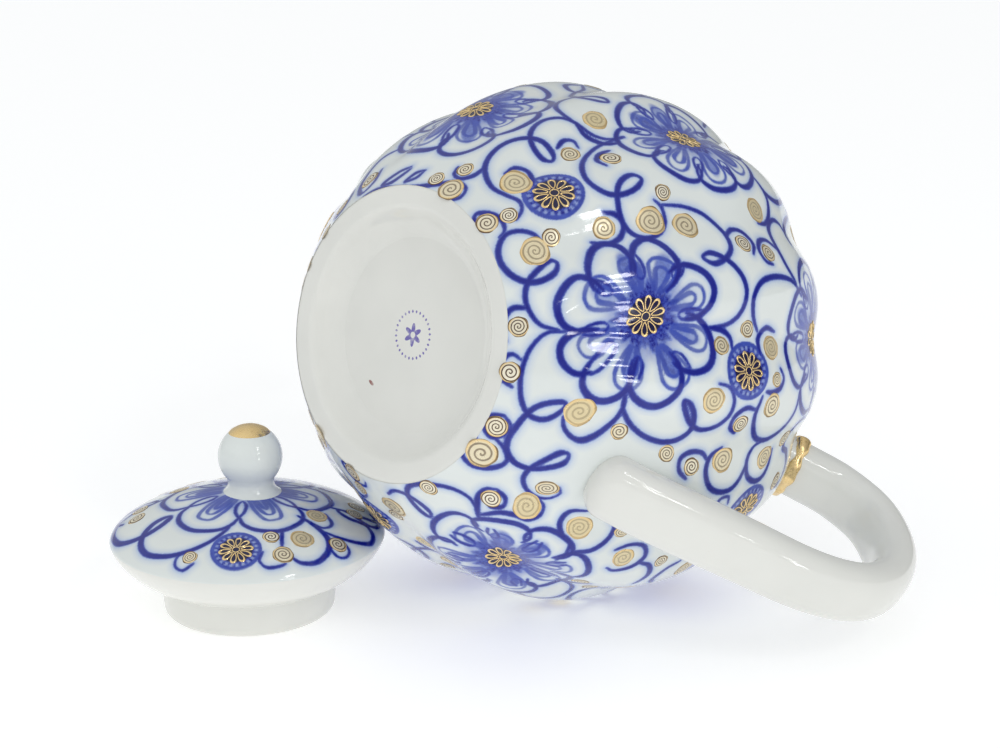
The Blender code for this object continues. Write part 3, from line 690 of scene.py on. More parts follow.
def lid_painting():
    art = Painting(LidSurface)
    step = 360 / LID_SCALLOPS
    for i in range(LID_SCALLOPS):
        turn = i * step
        vary = 0.5 * math.sin(2.1 * i + 0.6)
        scallop = ((-90.5, 15.4), (-96, 18.6), (-105, 20.6 + vary), (PETAL_AT, 21.8 + vary),
                   (-136, 20.6 + vary), (-146, 18.4), (-150.5, 15.4))
        art.vine(moved(scallop, turn), 1.35 * MM)
        loop = ((-91, 15.6), (-86.4, 13.2), (-84, 10.2), (-88, 8.2), (-93, 8.2), (-97.4, 10.2),
                (-95.6, 13.2), (-91, 15.6))
        art.vine(moved(loop, turn), 0.8 * MM, ends=0.8)
        for low, spread, width in LID_PETALS:
            half = ((1.5, 6.6), (1.1, (low + 7) / 2), (0.6, low - 0.8))
            petal = [(PETAL_AT - spread * across, out) for across, out in half]
            petal += [(PETAL_AT, low)]
            petal += [(PETAL_AT + spread * across, out) for across, out in half[::-1]]
            art.vine(moved(petal, turn), width * MM, ends=0.8, pale=True)
        art.washes.append(("glow", (PETAL_AT + turn, 9.0), 4.8 * MM))
    for turn in (0.0, 180.0):
        for line, width in LID_VINES:
            art.vine(moved(line, turn), width * MM)
        paint_medallion(art, (-89.4 + turn, 27.0), 6.1)
        paint_spirals(art, [(azimuth + turn, out, radius) for azimuth, out, radius in LID_SPIRALS])
    return art


# ---- paint on a grid

REACH = 2.4 * MM  # how far from a stroke its distance is recorded


def stroke_distance(grid, rows_at, out_at, samples, sample_rows):
    """Distance in millimetres from each grid point to the nearest stroke's edge.

    grid holds the drawing points; rows_at are the rows' coordinates, out_at each row's distance
    from the axis, and sample_rows the samples' coordinates in the same measure.
    """
    rows, columns = grid.shape[:2]
    flat = grid.reshape(-1, 3)
    nearest = np.full(len(flat), 3.0)
    if not len(samples):
        return nearest
    where = np.interp(sample_rows, rows_at, np.arange(rows))
    row = np.rint(where).astype(int)
    around = np.arctan2(samples[:, 1], samples[:, 0]) % TAU
    column = np.rint(around / TAU * columns).astype(int)
    row_step = np.linalg.norm(grid[1:, 0] - grid[:-1, 0], axis=1).min()
    high = math.ceil(REACH / row_step)
    wide = np.ceil(REACH / (out_at[row] * TAU / columns)).astype(int)
    for across in range(-int(wide.max()), int(wide.max()) + 1):
        near = np.nonzero(wide >= abs(across))[0]
        picked = (column[near] + across) % columns
        for down in range(-high, high + 1):
            r = row[near] + down
            inside = (r >= 0) & (r < rows)
            index = r[inside] * columns + picked[inside]
            s = samples[near[inside]]
            gap = np.linalg.norm(flat[index] - s[:, :3], axis=1) - s[:, 3]
            np.minimum.at(nearest, index, gap / MM)
    return nearest


def flower_frame(surface, place, grid):
    """Each grid point's (right, up) offset from a place, in metres; far points are infinite."""
    probe = surface.around(place, [[0, 0], [1e-4, 0], [0, 1e-4]])
    right, up = (probe[1] - probe[0]) / 1e-4, (probe[2] - probe[0]) / 1e-4
    away = grid - probe[0]
    x, y = away @ right, away @ up
    far = np.linalg.norm(away, axis=-1)
    stretch = far / np.maximum(np.hypot(x, y), 1e-9)
    return x * stretch, y * stretch, far


def wash_strength(art, grid):
    """Soft blue laid under the strokes, from 0 to 1, and the distance to the navy discs."""
    wash = np.zeros(grid.shape[:2])
    navy = np.full(grid.shape[:2], 3.0)
    for kind, place, radius in art.washes:
        x, y, far = flower_frame(art.surface, place, grid)
        if kind == "petal":
            out_x, out_y, strength = radius
            reach = math.hypot(out_x, out_y)
            along = (x * out_x + y * out_y) / reach
            across = (y * out_x - x * out_y) / reach
            blot = np.hypot((along - 1.15 * reach) / (0.55 * reach), across / (0.27 * reach))
            wash = np.maximum(wash, strength * (1 - smoothstep(0.55, 1.1, blot)))
            continue
        near = far < radius * 1.8
        x, y, far = x[near], y[near], far[near]
        turn = np.arctan2(y, x)
        share = far / radius
        if kind == "brushed":
            ragged = share + 0.10 * np.sin(11 * turn + 2) + 0.07 * np.sin(27 * turn)
            value = (1 - smoothstep(0.90, 1.16, ragged)) * (0.90 + 0.10 * np.cos(34 * turn))
            value += 0.30 * (1 - smoothstep(1.0, 1.8, share)) * (1 - value)
        elif kind == "dashed":
            dashes = smoothstep(0.22, 0.62, 0.5 + 0.5 * np.cos(22 * turn))
            band = smoothstep(0.69, 0.76, share) * (1 - smoothstep(0.87, 0.93, share))
            value = (1 - smoothstep(0.97, 1.03, share)) * (0.97 - 0.66 * band * dashes)
        else:
            value = 0.5 * (1 - smoothstep(0.2, 1.4, share))
        wash[near] = np.maximum(wash[near], value)
    for place, radius in art.navy:
        x, y, far = flower_frame(art.surface, place, grid)
        near = far < radius + REACH
        navy[near] = np.minimum(navy[near], (far[near] - radius) / MM)
    return wash, navy


def paint_grid(mesh, art, grid, rows_at, out_at, row_of):
    """Stores the painting at each of the mesh's vertices, as the ink attribute."""
    layers = []
    for strokes in (art.deep, art.pale):
        samples = np.vstack(strokes) if strokes else np.zeros((0, 4))
        layers.append(stroke_distance(grid, rows_at, out_at, samples, row_of(samples)))
    wash, navy = wash_strength(art, grid)
    set_floats(mesh, "ink", np.stack([*layers, wash.ravel(), navy.ravel()], axis=1))


# ---- materials


class Nodes:
    """A small helper for wiring a material."""

    def __init__(self, name):
        self.material = bpy.data.materials.new(name)
        self.material.use_nodes = True
        self.tree = self.material.node_tree
        self.shader = self.tree.nodes["Principled BSDF"]

    def add(self, kind, inputs=None, **settings):
        node = self.tree.nodes.new(kind)
        for key, value in settings.items():
            setattr(node, key, value)
        for key, value in (inputs or {}).items():
            self.feed(node.inputs[key], value)
        return node

    def feed(self, socket, value):
        if isinstance(value, bpy.types.NodeSocket):
            self.tree.links.new(value, socket)
        else:
            socket.default_value = value

    def set(self, name, value):
        self.feed(self.shader.inputs[name], value)

    def math(self, operation, *values, clamp=False):
        node = self.add("ShaderNodeMath", operation=operation, use_clamp=clamp)
        for socket, value in zip(node.inputs, values):
            self.feed(socket, value)
        return node.outputs[0]

    def ramp(self, value, low, high, start=0.0, end=1.0):
        """value from low to high eased to start to end."""
        inputs = {0: value, 1: low, 2: high, 3: start, 4: end}
        node = self.add("ShaderNodeMapRange", inputs, interpolation_type="SMOOTHSTEP")
        return node.outputs[0]

    def mix(self, factor, first, second):
        node = self.add("ShaderNodeMix", data_type="RGBA")
        self.feed(node.inputs[0], factor)
        self.feed(node.inputs[6], first)
        self.feed(node.inputs[7], second)
        return node.outputs[2]

    def noise(self, scale, detail=2.0, roughness=0.5, vector=None):
        inputs = {"Scale": scale, "Detail": detail, "Roughness": roughness}
        if vector is not None:
            inputs["Vector"] = vector
        return self.add("ShaderNodeTexNoise", inputs).outputs[0]

    def place(self):
        return self.add("ShaderNodeTexCoord").outputs["Object"]

    def bump(self, height, distance, normal=None):
        node = self.add("ShaderNodeBump", {"Strength": 1.0, "Distance": distance})
        self.feed(node.inputs["Height"], height)
        if normal is not None:
            self.feed(node.inputs["Normal"], normal)
        return node.outputs[0]


COOL_WHITE = (0.780, 0.820, 0.800, 1)
WARM_WHITE = (0.800, 0.800, 0.755, 1)
HALO = (0.400, 0.510, 0.760, 1)
LIGHT_COBALT = (0.070, 0.125, 0.560, 1)
MID_COBALT = (0.018, 0.042, 0.400, 1)
DEEP_COBALT = (0.001, 0.005, 0.235, 1)
NAVY = (0.004, 0.001, 0.030, 1)
WASH = (0.045, 0.080, 0.440, 1)
PALE_WASH = (0.200, 0.300, 0.720, 1)
STAMP = (0.110, 0.080, 0.400, 1)
DAB = (0.260, 0.070, 0.060, 1)


def glaze(nodes):
    """The glassy coat that every porcelain piece has, rippled very slightly."""
    place = nodes.place()
    broad = nodes.noise(55.0, 1.0, 0.4, place)
    fine = nodes.noise(900.0, 2.0, 0.5, place)
    nodes.set("Normal", nodes.bump(fine, 0.000004, nodes.bump(broad, 0.00012)))
    nodes.set("Roughness", nodes.ramp(fine, 0.3, 0.7, 0.04, 0.09))
    nodes.set("IOR", 1.52)
    nodes.set("Specular IOR Level", 0.5)


SPECK = (0.42, 0.36, 0.28, 1)


def porcelain(nodes, tint):
    """Body colour with the faint unevenness of a fired white clay under glaze."""
    place = nodes.place()
    cloud = nodes.noise(38.0, 3.0, 0.55, place)
    speck = nodes.noise(2600.0, 1.0, 0.5, place)
    shade = tuple(c * 0.955 for c in tint[:3]) + (1,)
    clouded = nodes.mix(nodes.ramp(cloud, 0.35, 0.70), tint, shade)
    return nodes.mix(nodes.ramp(speck, 0.80, 0.84, 0.0, 0.35), clouded, SPECK)


def white_material(name, tint):
    nodes = Nodes(name)
    nodes.set("Base Color", porcelain(nodes, tint))
    glaze(nodes)
    return nodes.material


def marked_material():
    """White porcelain with a small flower in a ring of dots, and a dab of brown beside it."""
    nodes = Nodes("marked_porcelain")
    mark = nodes.add("ShaderNodeAttribute", attribute_name="mark")
    parts = nodes.add("ShaderNodeSeparateXYZ", {0: mark.outputs["Vector"]})
    x, y, _ = parts.outputs

    def spread(x, y):
        squares = [nodes.math("MULTIPLY", v, v) for v in (x, y)]
        return nodes.math("SQRT", nodes.math("ADD", *squares))

    far = spread(x, y)
    turn = nodes.math("ARCTAN2", y, x)
    petals = nodes.math("COSINE", nodes.math("MULTIPLY", turn, 6.0))
    flower = nodes.math("SUBTRACT", far, nodes.math("MULTIPLY_ADD", petals, 0.75, 2.1))
    heart = nodes.math("SUBTRACT", 0.75, far)
    flower = nodes.math("MAXIMUM", flower, heart)
    dots = nodes.math("COSINE", nodes.math("MULTIPLY", turn, 28.0))
    ring = nodes.math("ABSOLUTE", nodes.math("SUBTRACT", far, 5.6))
    ring = nodes.math("SUBTRACT", ring, nodes.math("MULTIPLY", dots, 0.40))
    stamp = nodes.ramp(nodes.math("MINIMUM", flower, ring), 0.08, -0.10)
    side = nodes.math("MULTIPLY", nodes.math("SUBTRACT", y, 17.5), 2.2)
    dab = spread(nodes.math("SUBTRACT", x, -4.0), side)
    dab = nodes.ramp(dab, 1.1, 0.8)
    worn = nodes.ramp(nodes.noise(900.0, 2.0, 0.5, nodes.place()), 0.25, 0.6, 0.55, 0.92)
    colour = nodes.mix(nodes.math("MULTIPLY", stamp, worn), porcelain(nodes, WARM_WHITE), STAMP)
    colour = nodes.mix(nodes.math("MULTIPLY", dab, worn), colour, DAB)
    nodes.set("Base Color", colour)
    glaze(nodes)
    return nodes.material


def painted_material():
    """Cobalt under the glaze: brushed strokes with bleeding edges, over porcelain."""
    nodes = Nodes("painted_porcelain")
    ink = nodes.add("ShaderNodeAttribute", attribute_name="ink")
    parts = nodes.add("ShaderNodeSeparateColor", {0: ink.outputs["Color"]})
    deep, pale, wash = parts.outputs
    navy = ink.outputs["Alpha"]
    place = nodes.place()
    grain = nodes.noise(1500.0, 3.0, 0.6, place)
    pool = nodes.noise(210.0, 2.0, 0.5, place)
    ragged = nodes.math("MULTIPLY", nodes.math("SUBTRACT", grain, 0.5), 0.30)
    deep = nodes.math("ADD", deep, ragged)
    pale = nodes.math("ADD", pale, ragged)
    nearest = nodes.math("MINIMUM", deep, nodes.math("ADD", pale, 0.35))
    colour = porcelain(nodes, COOL_WHITE)
    colour = nodes.mix(nodes.ramp(nearest, 2.4, 0.2, 0.0, 0.42), colour, HALO)
    colour = nodes.mix(nodes.ramp(nearest, 1.0, -0.05, 0.0, 0.85), colour, HALO)
    soft = nodes.ramp(pool, 0.3, 0.7, 0.72, 1.0)
    wash = nodes.math("MULTIPLY", nodes.math("MULTIPLY", wash, 1.25), soft, clamp=True)
    colour = nodes.mix(nodes.ramp(wash, 0.0, 0.5, 0.0, 0.85), colour, PALE_WASH)
    colour = nodes.mix(wash, colour, nodes.mix(nodes.ramp(grain, 0.35, 0.65), DEEP_COBALT, WASH))
    line = nodes.math("MULTIPLY", nodes.ramp(pale, 0.36, -0.16), soft)
    colour = nodes.mix(line, colour, nodes.mix(pool, DEEP_COBALT, LIGHT_COBALT))
    edge = nodes.ramp(deep, 0.36, -0.06, 0.0, 0.90)
    colour = nodes.mix(edge, colour, MID_COBALT)
    core = nodes.math("MULTIPLY", nodes.ramp(deep, 0.12, -0.34), nodes.ramp(pool, 0.2, 0.7, 0.8, 1))
    colour = nodes.mix(core, colour, DEEP_COBALT)
    colour = nodes.mix(nodes.ramp(navy, 0.25, -0.25, 0.0, 0.95), colour, NAVY)
    nodes.set("Base Color", colour)
    glaze(nodes)
    return nodes.material


def gold_colours(nodes):
    """Fired gold: warm, a little worn, darker where it's thick."""
    place = nodes.place()
    worn = nodes.noise(700.0, 3.0, 0.6, place)
    cloud = nodes.noise(140.0, 2.0, 0.5, place)
    bright = nodes.mix(cloud, (0.80, 0.55, 0.22, 1), (0.92, 0.73, 0.42, 1))
    return nodes.mix(nodes.ramp(worn, 0.62, 0.75, 0.0, 0.6), bright, (0.45, 0.30, 0.12, 1)), worn


def gold_material():
    nodes = Nodes("fired_gold")
    colour, worn = gold_colours(nodes)
    nodes.set("Base Color", colour)
    nodes.set("Metallic", 1.0)
    nodes.set("Roughness", nodes.ramp(worn, 0.3, 0.7, 0.16, 0.34))
    nodes.set("Normal", nodes.bump(worn, 0.00003))
    return nodes.material


def spiral_material():
    """Gilded discs with a spiral line trailed round them, drawn from their own coordinates."""
    nodes = Nodes("gilded_spirals")
    dial = nodes.add("ShaderNodeAttribute", attribute_name="dial")
    parts = nodes.add("ShaderNodeSeparateColor", {0: dial.outputs["Color"]})
    x, y, seed = parts.outputs
    tone = dial.outputs["Alpha"]
    squares = [nodes.math("POWER", v, 2.0) for v in (x, y)]
    far = nodes.math("SQRT", nodes.math("ADD", *squares))
    turn = nodes.math("DIVIDE", nodes.math("ARCTAN2", y, x), TAU)
    wobble = nodes.math("MULTIPLY", nodes.noise(450.0, 2.0, 0.5, nodes.place()), 0.30)
    rings = nodes.math("MULTIPLY", far, nodes.math("ADD", 2.6, nodes.math("MULTIPLY", seed, 0.9)))
    phase = nodes.math("ADD", nodes.math("SUBTRACT", rings, turn), nodes.math("ADD", wobble, seed))
    wave = nodes.math("ABSOLUTE", nodes.math("SUBTRACT", nodes.math("FRACT", phase), 0.5))
    groove = nodes.ramp(wave, 0.23, 0.09)
    colour, worn = gold_colours(nodes)
    pale = nodes.mix(tone, (0.74, 0.62, 0.37, 1), (0.90, 0.84, 0.68, 1))
    colour = nodes.mix(nodes.ramp(far, 0.70, 0.92), pale, colour)
    depth = nodes.math("MULTIPLY", groove, nodes.ramp(tone, 0.0, 0.9, 0.34, 1.0))
    colour = nodes.mix(depth, colour, (0.085, 0.040, 0.022, 1))
    outlined = nodes.ramp(tone, 0.2, 0.8, 0.3, 0.95)
    rim = nodes.math("MULTIPLY", nodes.ramp(far, 0.90, 0.99), outlined)
    colour = nodes.mix(rim, colour, (0.10, 0.05, 0.03, 1))
    nodes.set("Base Color", colour)
    nodes.set("Metallic", 0.5)
    nodes.set("Roughness", nodes.ramp(worn, 0.3, 0.7, 0.26, 0.42))
    nodes.set("Normal", nodes.bump(nodes.math("SUBTRACT", 1.0, groove), 0.00008))
    return nodes.material


# ---- gilding on the surfaces


def spiral_discs(art, name, body, matrix, material):
    """Every gilded spiral on one surface, as one thin raised piece."""
    rings, sectors = 9, 32
    turn = np.arange(sectors) * TAU / sectors
    faces = quads_of(rings, sectors)
    vertices, quads, dials = [], [], []
    for i, (place, radius) in enumerate(art.spirals):
        seed = (math.sin(12.9898 * i + 4.1) * 437.5) % 1.0
        tone = 0.5 * ((math.sin(78.233 * i + 1.7) * 437.5) % 1.0) + 0.5 * (radius < 2.65 * MM)
        share = np.linspace(0.0, 1.0, rings)[:, None]
        ragged = 1 + 0.035 * np.sin(3 * turn + 9 * seed) + 0.02 * np.sin(7 * turn + 5 * tone)
        x, y = share * ragged * np.cos(turn), share * ragged * np.sin(turn)
        lift = 0.00010 * (1 - share**6) + 0.00001 + 0 * turn
        drawn = art.surface.around(place, np.stack([x, y], axis=-1) * radius)
        vertices.append(art.surface.drape(drawn, lift).reshape(-1, 3))
        quads.append(faces + i * rings * sectors)
        dial = np.stack([x, y, np.full_like(x, seed), np.full_like(x, tone)], axis=-1)
        dials.append(dial.reshape(-1, 4))
    mesh = mesh_of(name, np.vstack(vertices), np.vstack(quads))
    set_floats(mesh, "dial", np.vstack(dials))
    return add_object(name, mesh, body, matrix, material)


ROSETTE_PETALS = 10


def rosette_lines(radius, spin):
    """Closed outlines, as (right, up) offsets: ten petals and a ring round a dot."""
    t = np.linspace(0, TAU, 22, endpoint=False)
    lines = []
    for i in range(ROSETTE_PETALS):
        bearing = math.radians(spin + i * 360 / ROSETTE_PETALS)
        out = radius * (0.655 - 0.345 * np.cos(t))
        across = radius * 0.145 * np.sin(t) * (1 - 0.35 * np.cos(t))
        c, s = math.cos(bearing), math.sin(bearing)
        lines.append(np.stack([out * c - across * s, out * s + across * c], axis=1))
    ring = radius * 0.22
    lines.append(np.stack([ring * np.cos(t), ring * np.sin(t)], axis=1))
    return lines


THREAD_HALF = 0.00017


def gold_threads(art, name, body, matrix, material):
    """The rosettes' outlines as low rounded threads of gold."""
    section = ((-1.0, 0.0), (-0.6, 0.8), (0.0, 1.0), (0.6, 0.8), (1.0, 0.0))
    vertices, quads, base = [], [], 0
    for place, radius, spin in art.rosettes:
        for line in rosette_lines(radius, spin):
            ahead = np.roll(line, -1, axis=0) - np.roll(line, 1, axis=0)
            ahead /= np.linalg.norm(ahead, axis=1, keepdims=True)
            side = np.stack([-ahead[:, 1], ahead[:, 0]], axis=1)
            out = np.hypot(line[:, 0], line[:, 1])[:, None] / radius
            side *= 0.85 + 0.8 * smoothstep(0.75, 1.0, out)
            rows = []
            for across, up in section:
                drawn = art.surface.around(place, line + side * across * THREAD_HALF)
                rows.append(art.surface.drape(drawn, np.full(len(line), 0.00002 + up * GILDING)))
            vertices.append(np.stack(rows).reshape(-1, 3))
            quads.append(quads_of(len(section), len(line)) + base)
            base += len(section) * len(line)
    mesh = mesh_of(name, np.vstack(vertices), np.vstack(quads))
    return add_object(name, mesh, body, matrix, material)


# ---- the pot

WALL_COLUMNS = LOBES * 72
WALL_ROWS = 320
INSIDE_COLUMNS = LOBES * 16
PAINT_TOP = math.radians(28.5)
PAINT_END = math.radians(149.3)


def make_wall(material):
    """The lobed outer wall, with its painting stored at its vertices."""
    colatitude = np.linspace(PAINT_TOP, PAINT_END, WALL_ROWS)
    around = np.arange(WALL_COLUMNS) * TAU / WALL_COLUMNS
    directions = unit(around[None, :], colatitude[:, None])
    mesh = mesh_of("painted_wall", wall_points(directions), quads_of(WALL_ROWS, WALL_COLUMNS))
    mesh.flip_normals()

    def row_of(samples):
        far = np.linalg.norm(samples[:, :3], axis=1)
        return np.arccos(np.clip(samples[:, 2] / np.maximum(far, 1e-9), -1, 1))

    art = pot_painting()
    out_at = DRAWN * np.sin(colatitude)
    paint_grid(mesh, art, directions * DRAWN, colatitude, out_at, row_of)
    add_object("painted_wall", mesh, "pot", POT, material, ["pot_body"])
    return art


def edge_point(colatitude):
    """(radius, height) of the wall's mean surface at a colatitude."""
    point = wall_points(unit(np.array(0.5 * math.pi / LOBES), np.array(colatitude)))
    return float(np.hypot(point[0], point[1])), float(point[2])


def make_base(material):
    """The foot ring and the shallow recess inside it."""
    start = edge_point(PAINT_END)
    profile = [
        start,
        (0.03575, -0.05870),
        (0.03525, -0.05910),
        (0.03450, -0.05928),
        (0.03340, -0.05930),
        (0.03180, -0.05930),
        (0.03060, -0.05922),
        (0.02990, -0.05885),
        (0.02900, -0.05800),
        (0.02780, -0.05670),
        (0.02620, -0.05540),
        (0.02460, -0.05450),
        (0.02340, -0.05415),
        (0.02240, -0.05410),
        (0.01500, -0.05410),
        (0.00700, -0.05410),
        (0.00010, -0.05410),
    ]
    line = spline(profile, 0.0004)
    grid, faces = turned(line, INSIDE_COLUMNS)
    mesh = mesh_of("pot_base", grid, faces)
    mesh.flip_normals()
    flat = grid.reshape(-1, 3) / MM
    set_floats(mesh, "mark", np.stack([flat[:, 0], flat[:, 1], flat[:, 2], 1 + 0 * flat[:, 0]], 1))
    add_object("pot_base", mesh, "pot", POT, material)


def make_inside(material):
    """The lip, the throat and the hollow of the pot."""
    lip = edge_point(PAINT_TOP)
    heights = np.linspace(0.0500, -0.0475, 40)
    inner = [(float(wall_radius(np.array(h), -WALL)), float(h)) for h in heights]
    profile = [
        lip,
        (THROAT + 0.0044, LIP_TOP - 0.0001),
        (THROAT + 0.0019, LIP_TOP),
        (THROAT + 0.0004, LIP_TOP - 0.0009),
        (THROAT, LIP_TOP - 0.0025),
        (THROAT + 0.0001, 0.0515),
        *inner,
        (0.0335, -0.0499),
        (0.0250, -0.0503),
        (0.0001, -0.0503),
    ]
    line = spline(profile, 0.0011)
    grid, faces = turned(line, INSIDE_COLUMNS)
    mesh = mesh_of("pot_inside", grid, faces)
    add_object("pot_inside", mesh, "pot", POT, material)


HANDLE_PATH = (  # (distance from the axis, height) in millimetres
    (52.6, -38.2), (56.4, -34.6), (65.2, -26.1), (79.3, -10.3), (91.6, 3.8), (97.2, 17), (96.6, 30),
    (91, 41.5), (82.5, 49.9), (72, 54.5), (61.5, 52.2), (54, 46.2), (46, 38.5),
)
HANDLE_HALF = 0.0053
HANDLE_BROADENING = 1.40


def swept_tube(path, halves, broad, sides, power=2.0):
    """A tube of oval section along a path in the plane y = 0, halves thick and broad wide."""
    ahead = np.gradient(path, axis=0)
    ahead /= np.linalg.norm(ahead, axis=1, keepdims=True)
    across = np.array([0.0, 1.0, 0.0])
    normal = np.cross(across, ahead)
    turn = np.arange(sides) * TAU / sides
    c, s = np.cos(turn), np.sin(turn)
    round_c = np.sign(c) * np.abs(c) ** (2 / power)
    round_s = np.sign(s) * np.abs(s) ** (2 / power)
    thick = halves[:, None, None] * round_c[None, :, None] * normal[:, None, :]
    wide = (halves * broad)[:, None, None] * round_s[None, :, None] * across
    grid = path[:, None, :] + thick + wide
    return grid, quads_of(len(path), sides)


def make_handle(material):
    line = resampled(spline(np.array(HANDLE_PATH) * MM, 0.0008), 0.0007)
    path = np.stack([line[:, 0], 0 * line[:, 0], line[:, 1]], axis=1)
    run = np.linspace(0, 1, len(path)) * 0.0007 * len(path)
    cap = np.clip(run / (HANDLE_HALF * 1.15), 0, 1)
    halves = HANDLE_HALF * np.sqrt(1 - (1 - cap) ** 2)
    halves *= 1 + 0.07 * (1 - smoothstep(0.02, 0.08, run))
    halves = np.maximum(halves, 0.00005)
    grid, faces = swept_tube(path, halves, HANDLE_BROADENING, 64, 2.5)
    mesh = mesh_of("handle_strap", grid, faces)
    add_object("handle_strap", mesh, "pot", POT, material, ["handle"])


def make_collar(material):
    """The lumpy gilded bead where the handle meets the shoulder."""
    centre = np.array([0.0508, 0.0, 0.0430])
    outward = np.array([0.716, 0.0, 0.698])
    outward /= np.linalg.norm(outward)
    across = np.array([0.0, 1.0, 0.0])
    up = np.cross(across, outward)
    steps, sides = 120, 16
    turn = np.arange(steps) * TAU / steps
    lump = 1 + 0.16 * np.sin(5 * turn + 1.9) + 0.12 * np.sin(11 * turn)
    lump += 0.10 * np.sin(3 * turn + 0.4)
    bead = 0.0010 * lump
    reach = HANDLE_HALF + 0.0003
    radial = np.cos(turn)[:, None] * up + np.sin(turn)[:, None] * across * HANDLE_BROADENING
    spine = centre + radial * reach
    radial /= np.linalg.norm(radial, axis=1, keepdims=True)
    s = np.arange(sides) * TAU / sides
    grid = (
        spine[:, None, :]
        + radial[:, None, :] * (bead[:, None] * np.cos(s))[..., None]
        + outward * (bead[:, None] * np.sin(s))[..., None] * 1.6
    )
    faces = quads_of(steps, sides)
    seam = np.arange(sides)
    last = (steps - 1) * sides
    closing = np.stack(
        [last + seam, last + (seam + 1) % sides, (seam + 1) % sides, seam], axis=1
    )
    mesh = mesh_of("gilded_collar", grid, np.vstack([faces, closing]))
    add_object("gilded_collar", mesh, "pot", POT, material, ["handle_collar"])


SPOUT_PATH = (  # (distance from the axis, height) in millimetres
    (-42, -26), (-53, -17), (-64, -8), (-73.5, 6), (-80, 22), (-86.8, 37), (-94.5, 48),
)
SPOUT_BURIED = 0.18  # how much further the path runs on inside the wall, against its length
SPOUT_TIP, SPOUT_FLARE, SPOUT_TAPER = 0.0068, 0.0070, 1.6
SPOUT_WALL = 0.0024
SPOUT_SIDES = 48


def make_spout(material, gold):
    line = resampled(spline(np.array(SPOUT_PATH) * MM, 0.0008), 0.0008)
    path = np.stack([line[:, 0], 0 * line[:, 0], line[:, 1]], axis=1)
    share = np.linspace(-SPOUT_BURIED, 1, len(path)).clip(0, 1)
    halves = SPOUT_TIP + SPOUT_FLARE * (1 - share) ** SPOUT_TAPER
    outer, _ = swept_tube(path, halves, 1.0, SPOUT_SIDES)
    inner, _ = swept_tube(path, halves - SPOUT_WALL, 1.0, SPOUT_SIDES)
    # the buried end is trimmed to the middle of the pot's wall
    way = np.gradient(path, axis=0)
    way /= np.linalg.norm(way, axis=1, keepdims=True)
    for tube in (inner, outer):
        ahead = np.einsum("ijk,ik->ij", tube, way)
        gap = ahead**2 - np.sum(tube**2, axis=-1) + (BELLY - WALL / 2) ** 2
        run = np.where(gap > 0, np.sqrt(gap.clip(0)) - ahead, 0).clip(0)
        tube += run[..., None] * way[:, None]
        buried = run.min(axis=1) > 0
    start = int(np.flatnonzero(buried)[-1])
    outer, inner = outer[start:], inner[start:]
    tip = (outer[-1:] + inner[-1:]) / 2
    tip += (path[-1] - path[-2]) * 0.6
    grid = np.concatenate([outer, tip, inner[::-1]])
    mesh = mesh_of("spout_tube", grid, quads_of(len(grid), SPOUT_SIDES))
    set_floats(mesh, "ink", np.tile([3.0, 3.0, 0.0, 3.0], (len(mesh.vertices), 1)))
    add_object("spout_tube", mesh, "pot", POT, material, ["spout"])
    band = path[-5:]
    grid, faces = swept_tube(band, halves[-5:] + GILDING, 1.0, SPOUT_SIDES)
    mesh = mesh_of("spout_gold", grid, faces)
    add_object("spout_gold", mesh, "pot", POT, gold, ["spout_gilding"])


# ---- the lid

LID_COLUMNS = 540


def underside_profile():
    """(radius, height) from the rim down the rounded underside, the flange and the hollow."""
    quarter = np.linspace(math.pi / 2, 0, 24)
    power = 2 / UNDERSIDE_POWER
    radius = FLANGE_TOP + (LID_RIM - FLANGE_TOP) * np.sin(quarter) ** power
    height = LID_RIM_HEIGHT - (LID_RIM_HEIGHT - FLANGE_HEIGHT) * np.cos(quarter) ** power
    flange = [
        (FLANGE_TOP, FLANGE_HEIGHT - 0.0008),
        (0.02195, 0.0060),
        (0.02175, 0.0030),
        (0.02150, 0.0012),
        (0.02080, 0.0003),
        (0.02000, 0.0),
        (0.01880, 0.0),
        (0.01825, 0.0006),
        (0.01810, 0.0020),
        (0.01820, 0.0105),
    ]
    hollow = []
    for turn in np.linspace(0.35, 1.0, 12) * math.pi / 2:
        out = 0.0310 * math.cos(turn) ** (2 / DOME_POWER)
        hollow.append((max(out, 0.0001), 0.0193 + 0.0087 * math.sin(turn) ** (2 / DOME_POWER)))
    return [*zip(radius.tolist(), height.tolist()), *flange, *hollow]


def make_lid(painted, white):
    turn = np.linspace(math.pi / 2, 0, 150)
    out = LID_RIM * np.cos(turn) ** (2 / DOME_POWER)
    out = out[out > 0.0055]
    around = np.arange(LID_COLUMNS) * TAU / LID_COLUMNS
    grid = on_dome(out[:, None] * np.cos(around), out[:, None] * np.sin(around))
    mesh = mesh_of("lid_dome", grid, quads_of(len(out), LID_COLUMNS))
    mesh.flip_normals()
    art = lid_painting()
    paint_grid(
        mesh, art, grid, out, out, lambda samples: np.hypot(samples[:, 0], samples[:, 1])
    )
    add_object("lid_dome", mesh, "lid", LID, painted, ["lid"])
    line = resampled(spline(underside_profile(), 0.0005), 0.0005)
    line = np.maximum(line, [[0.0001, 0.0]])
    grid, faces = turned(line, 180)
    mesh = mesh_of("lid_underside", grid, faces)
    mesh.flip_normals()
    add_object("lid_underside", mesh, "lid", LID, white)
    return art


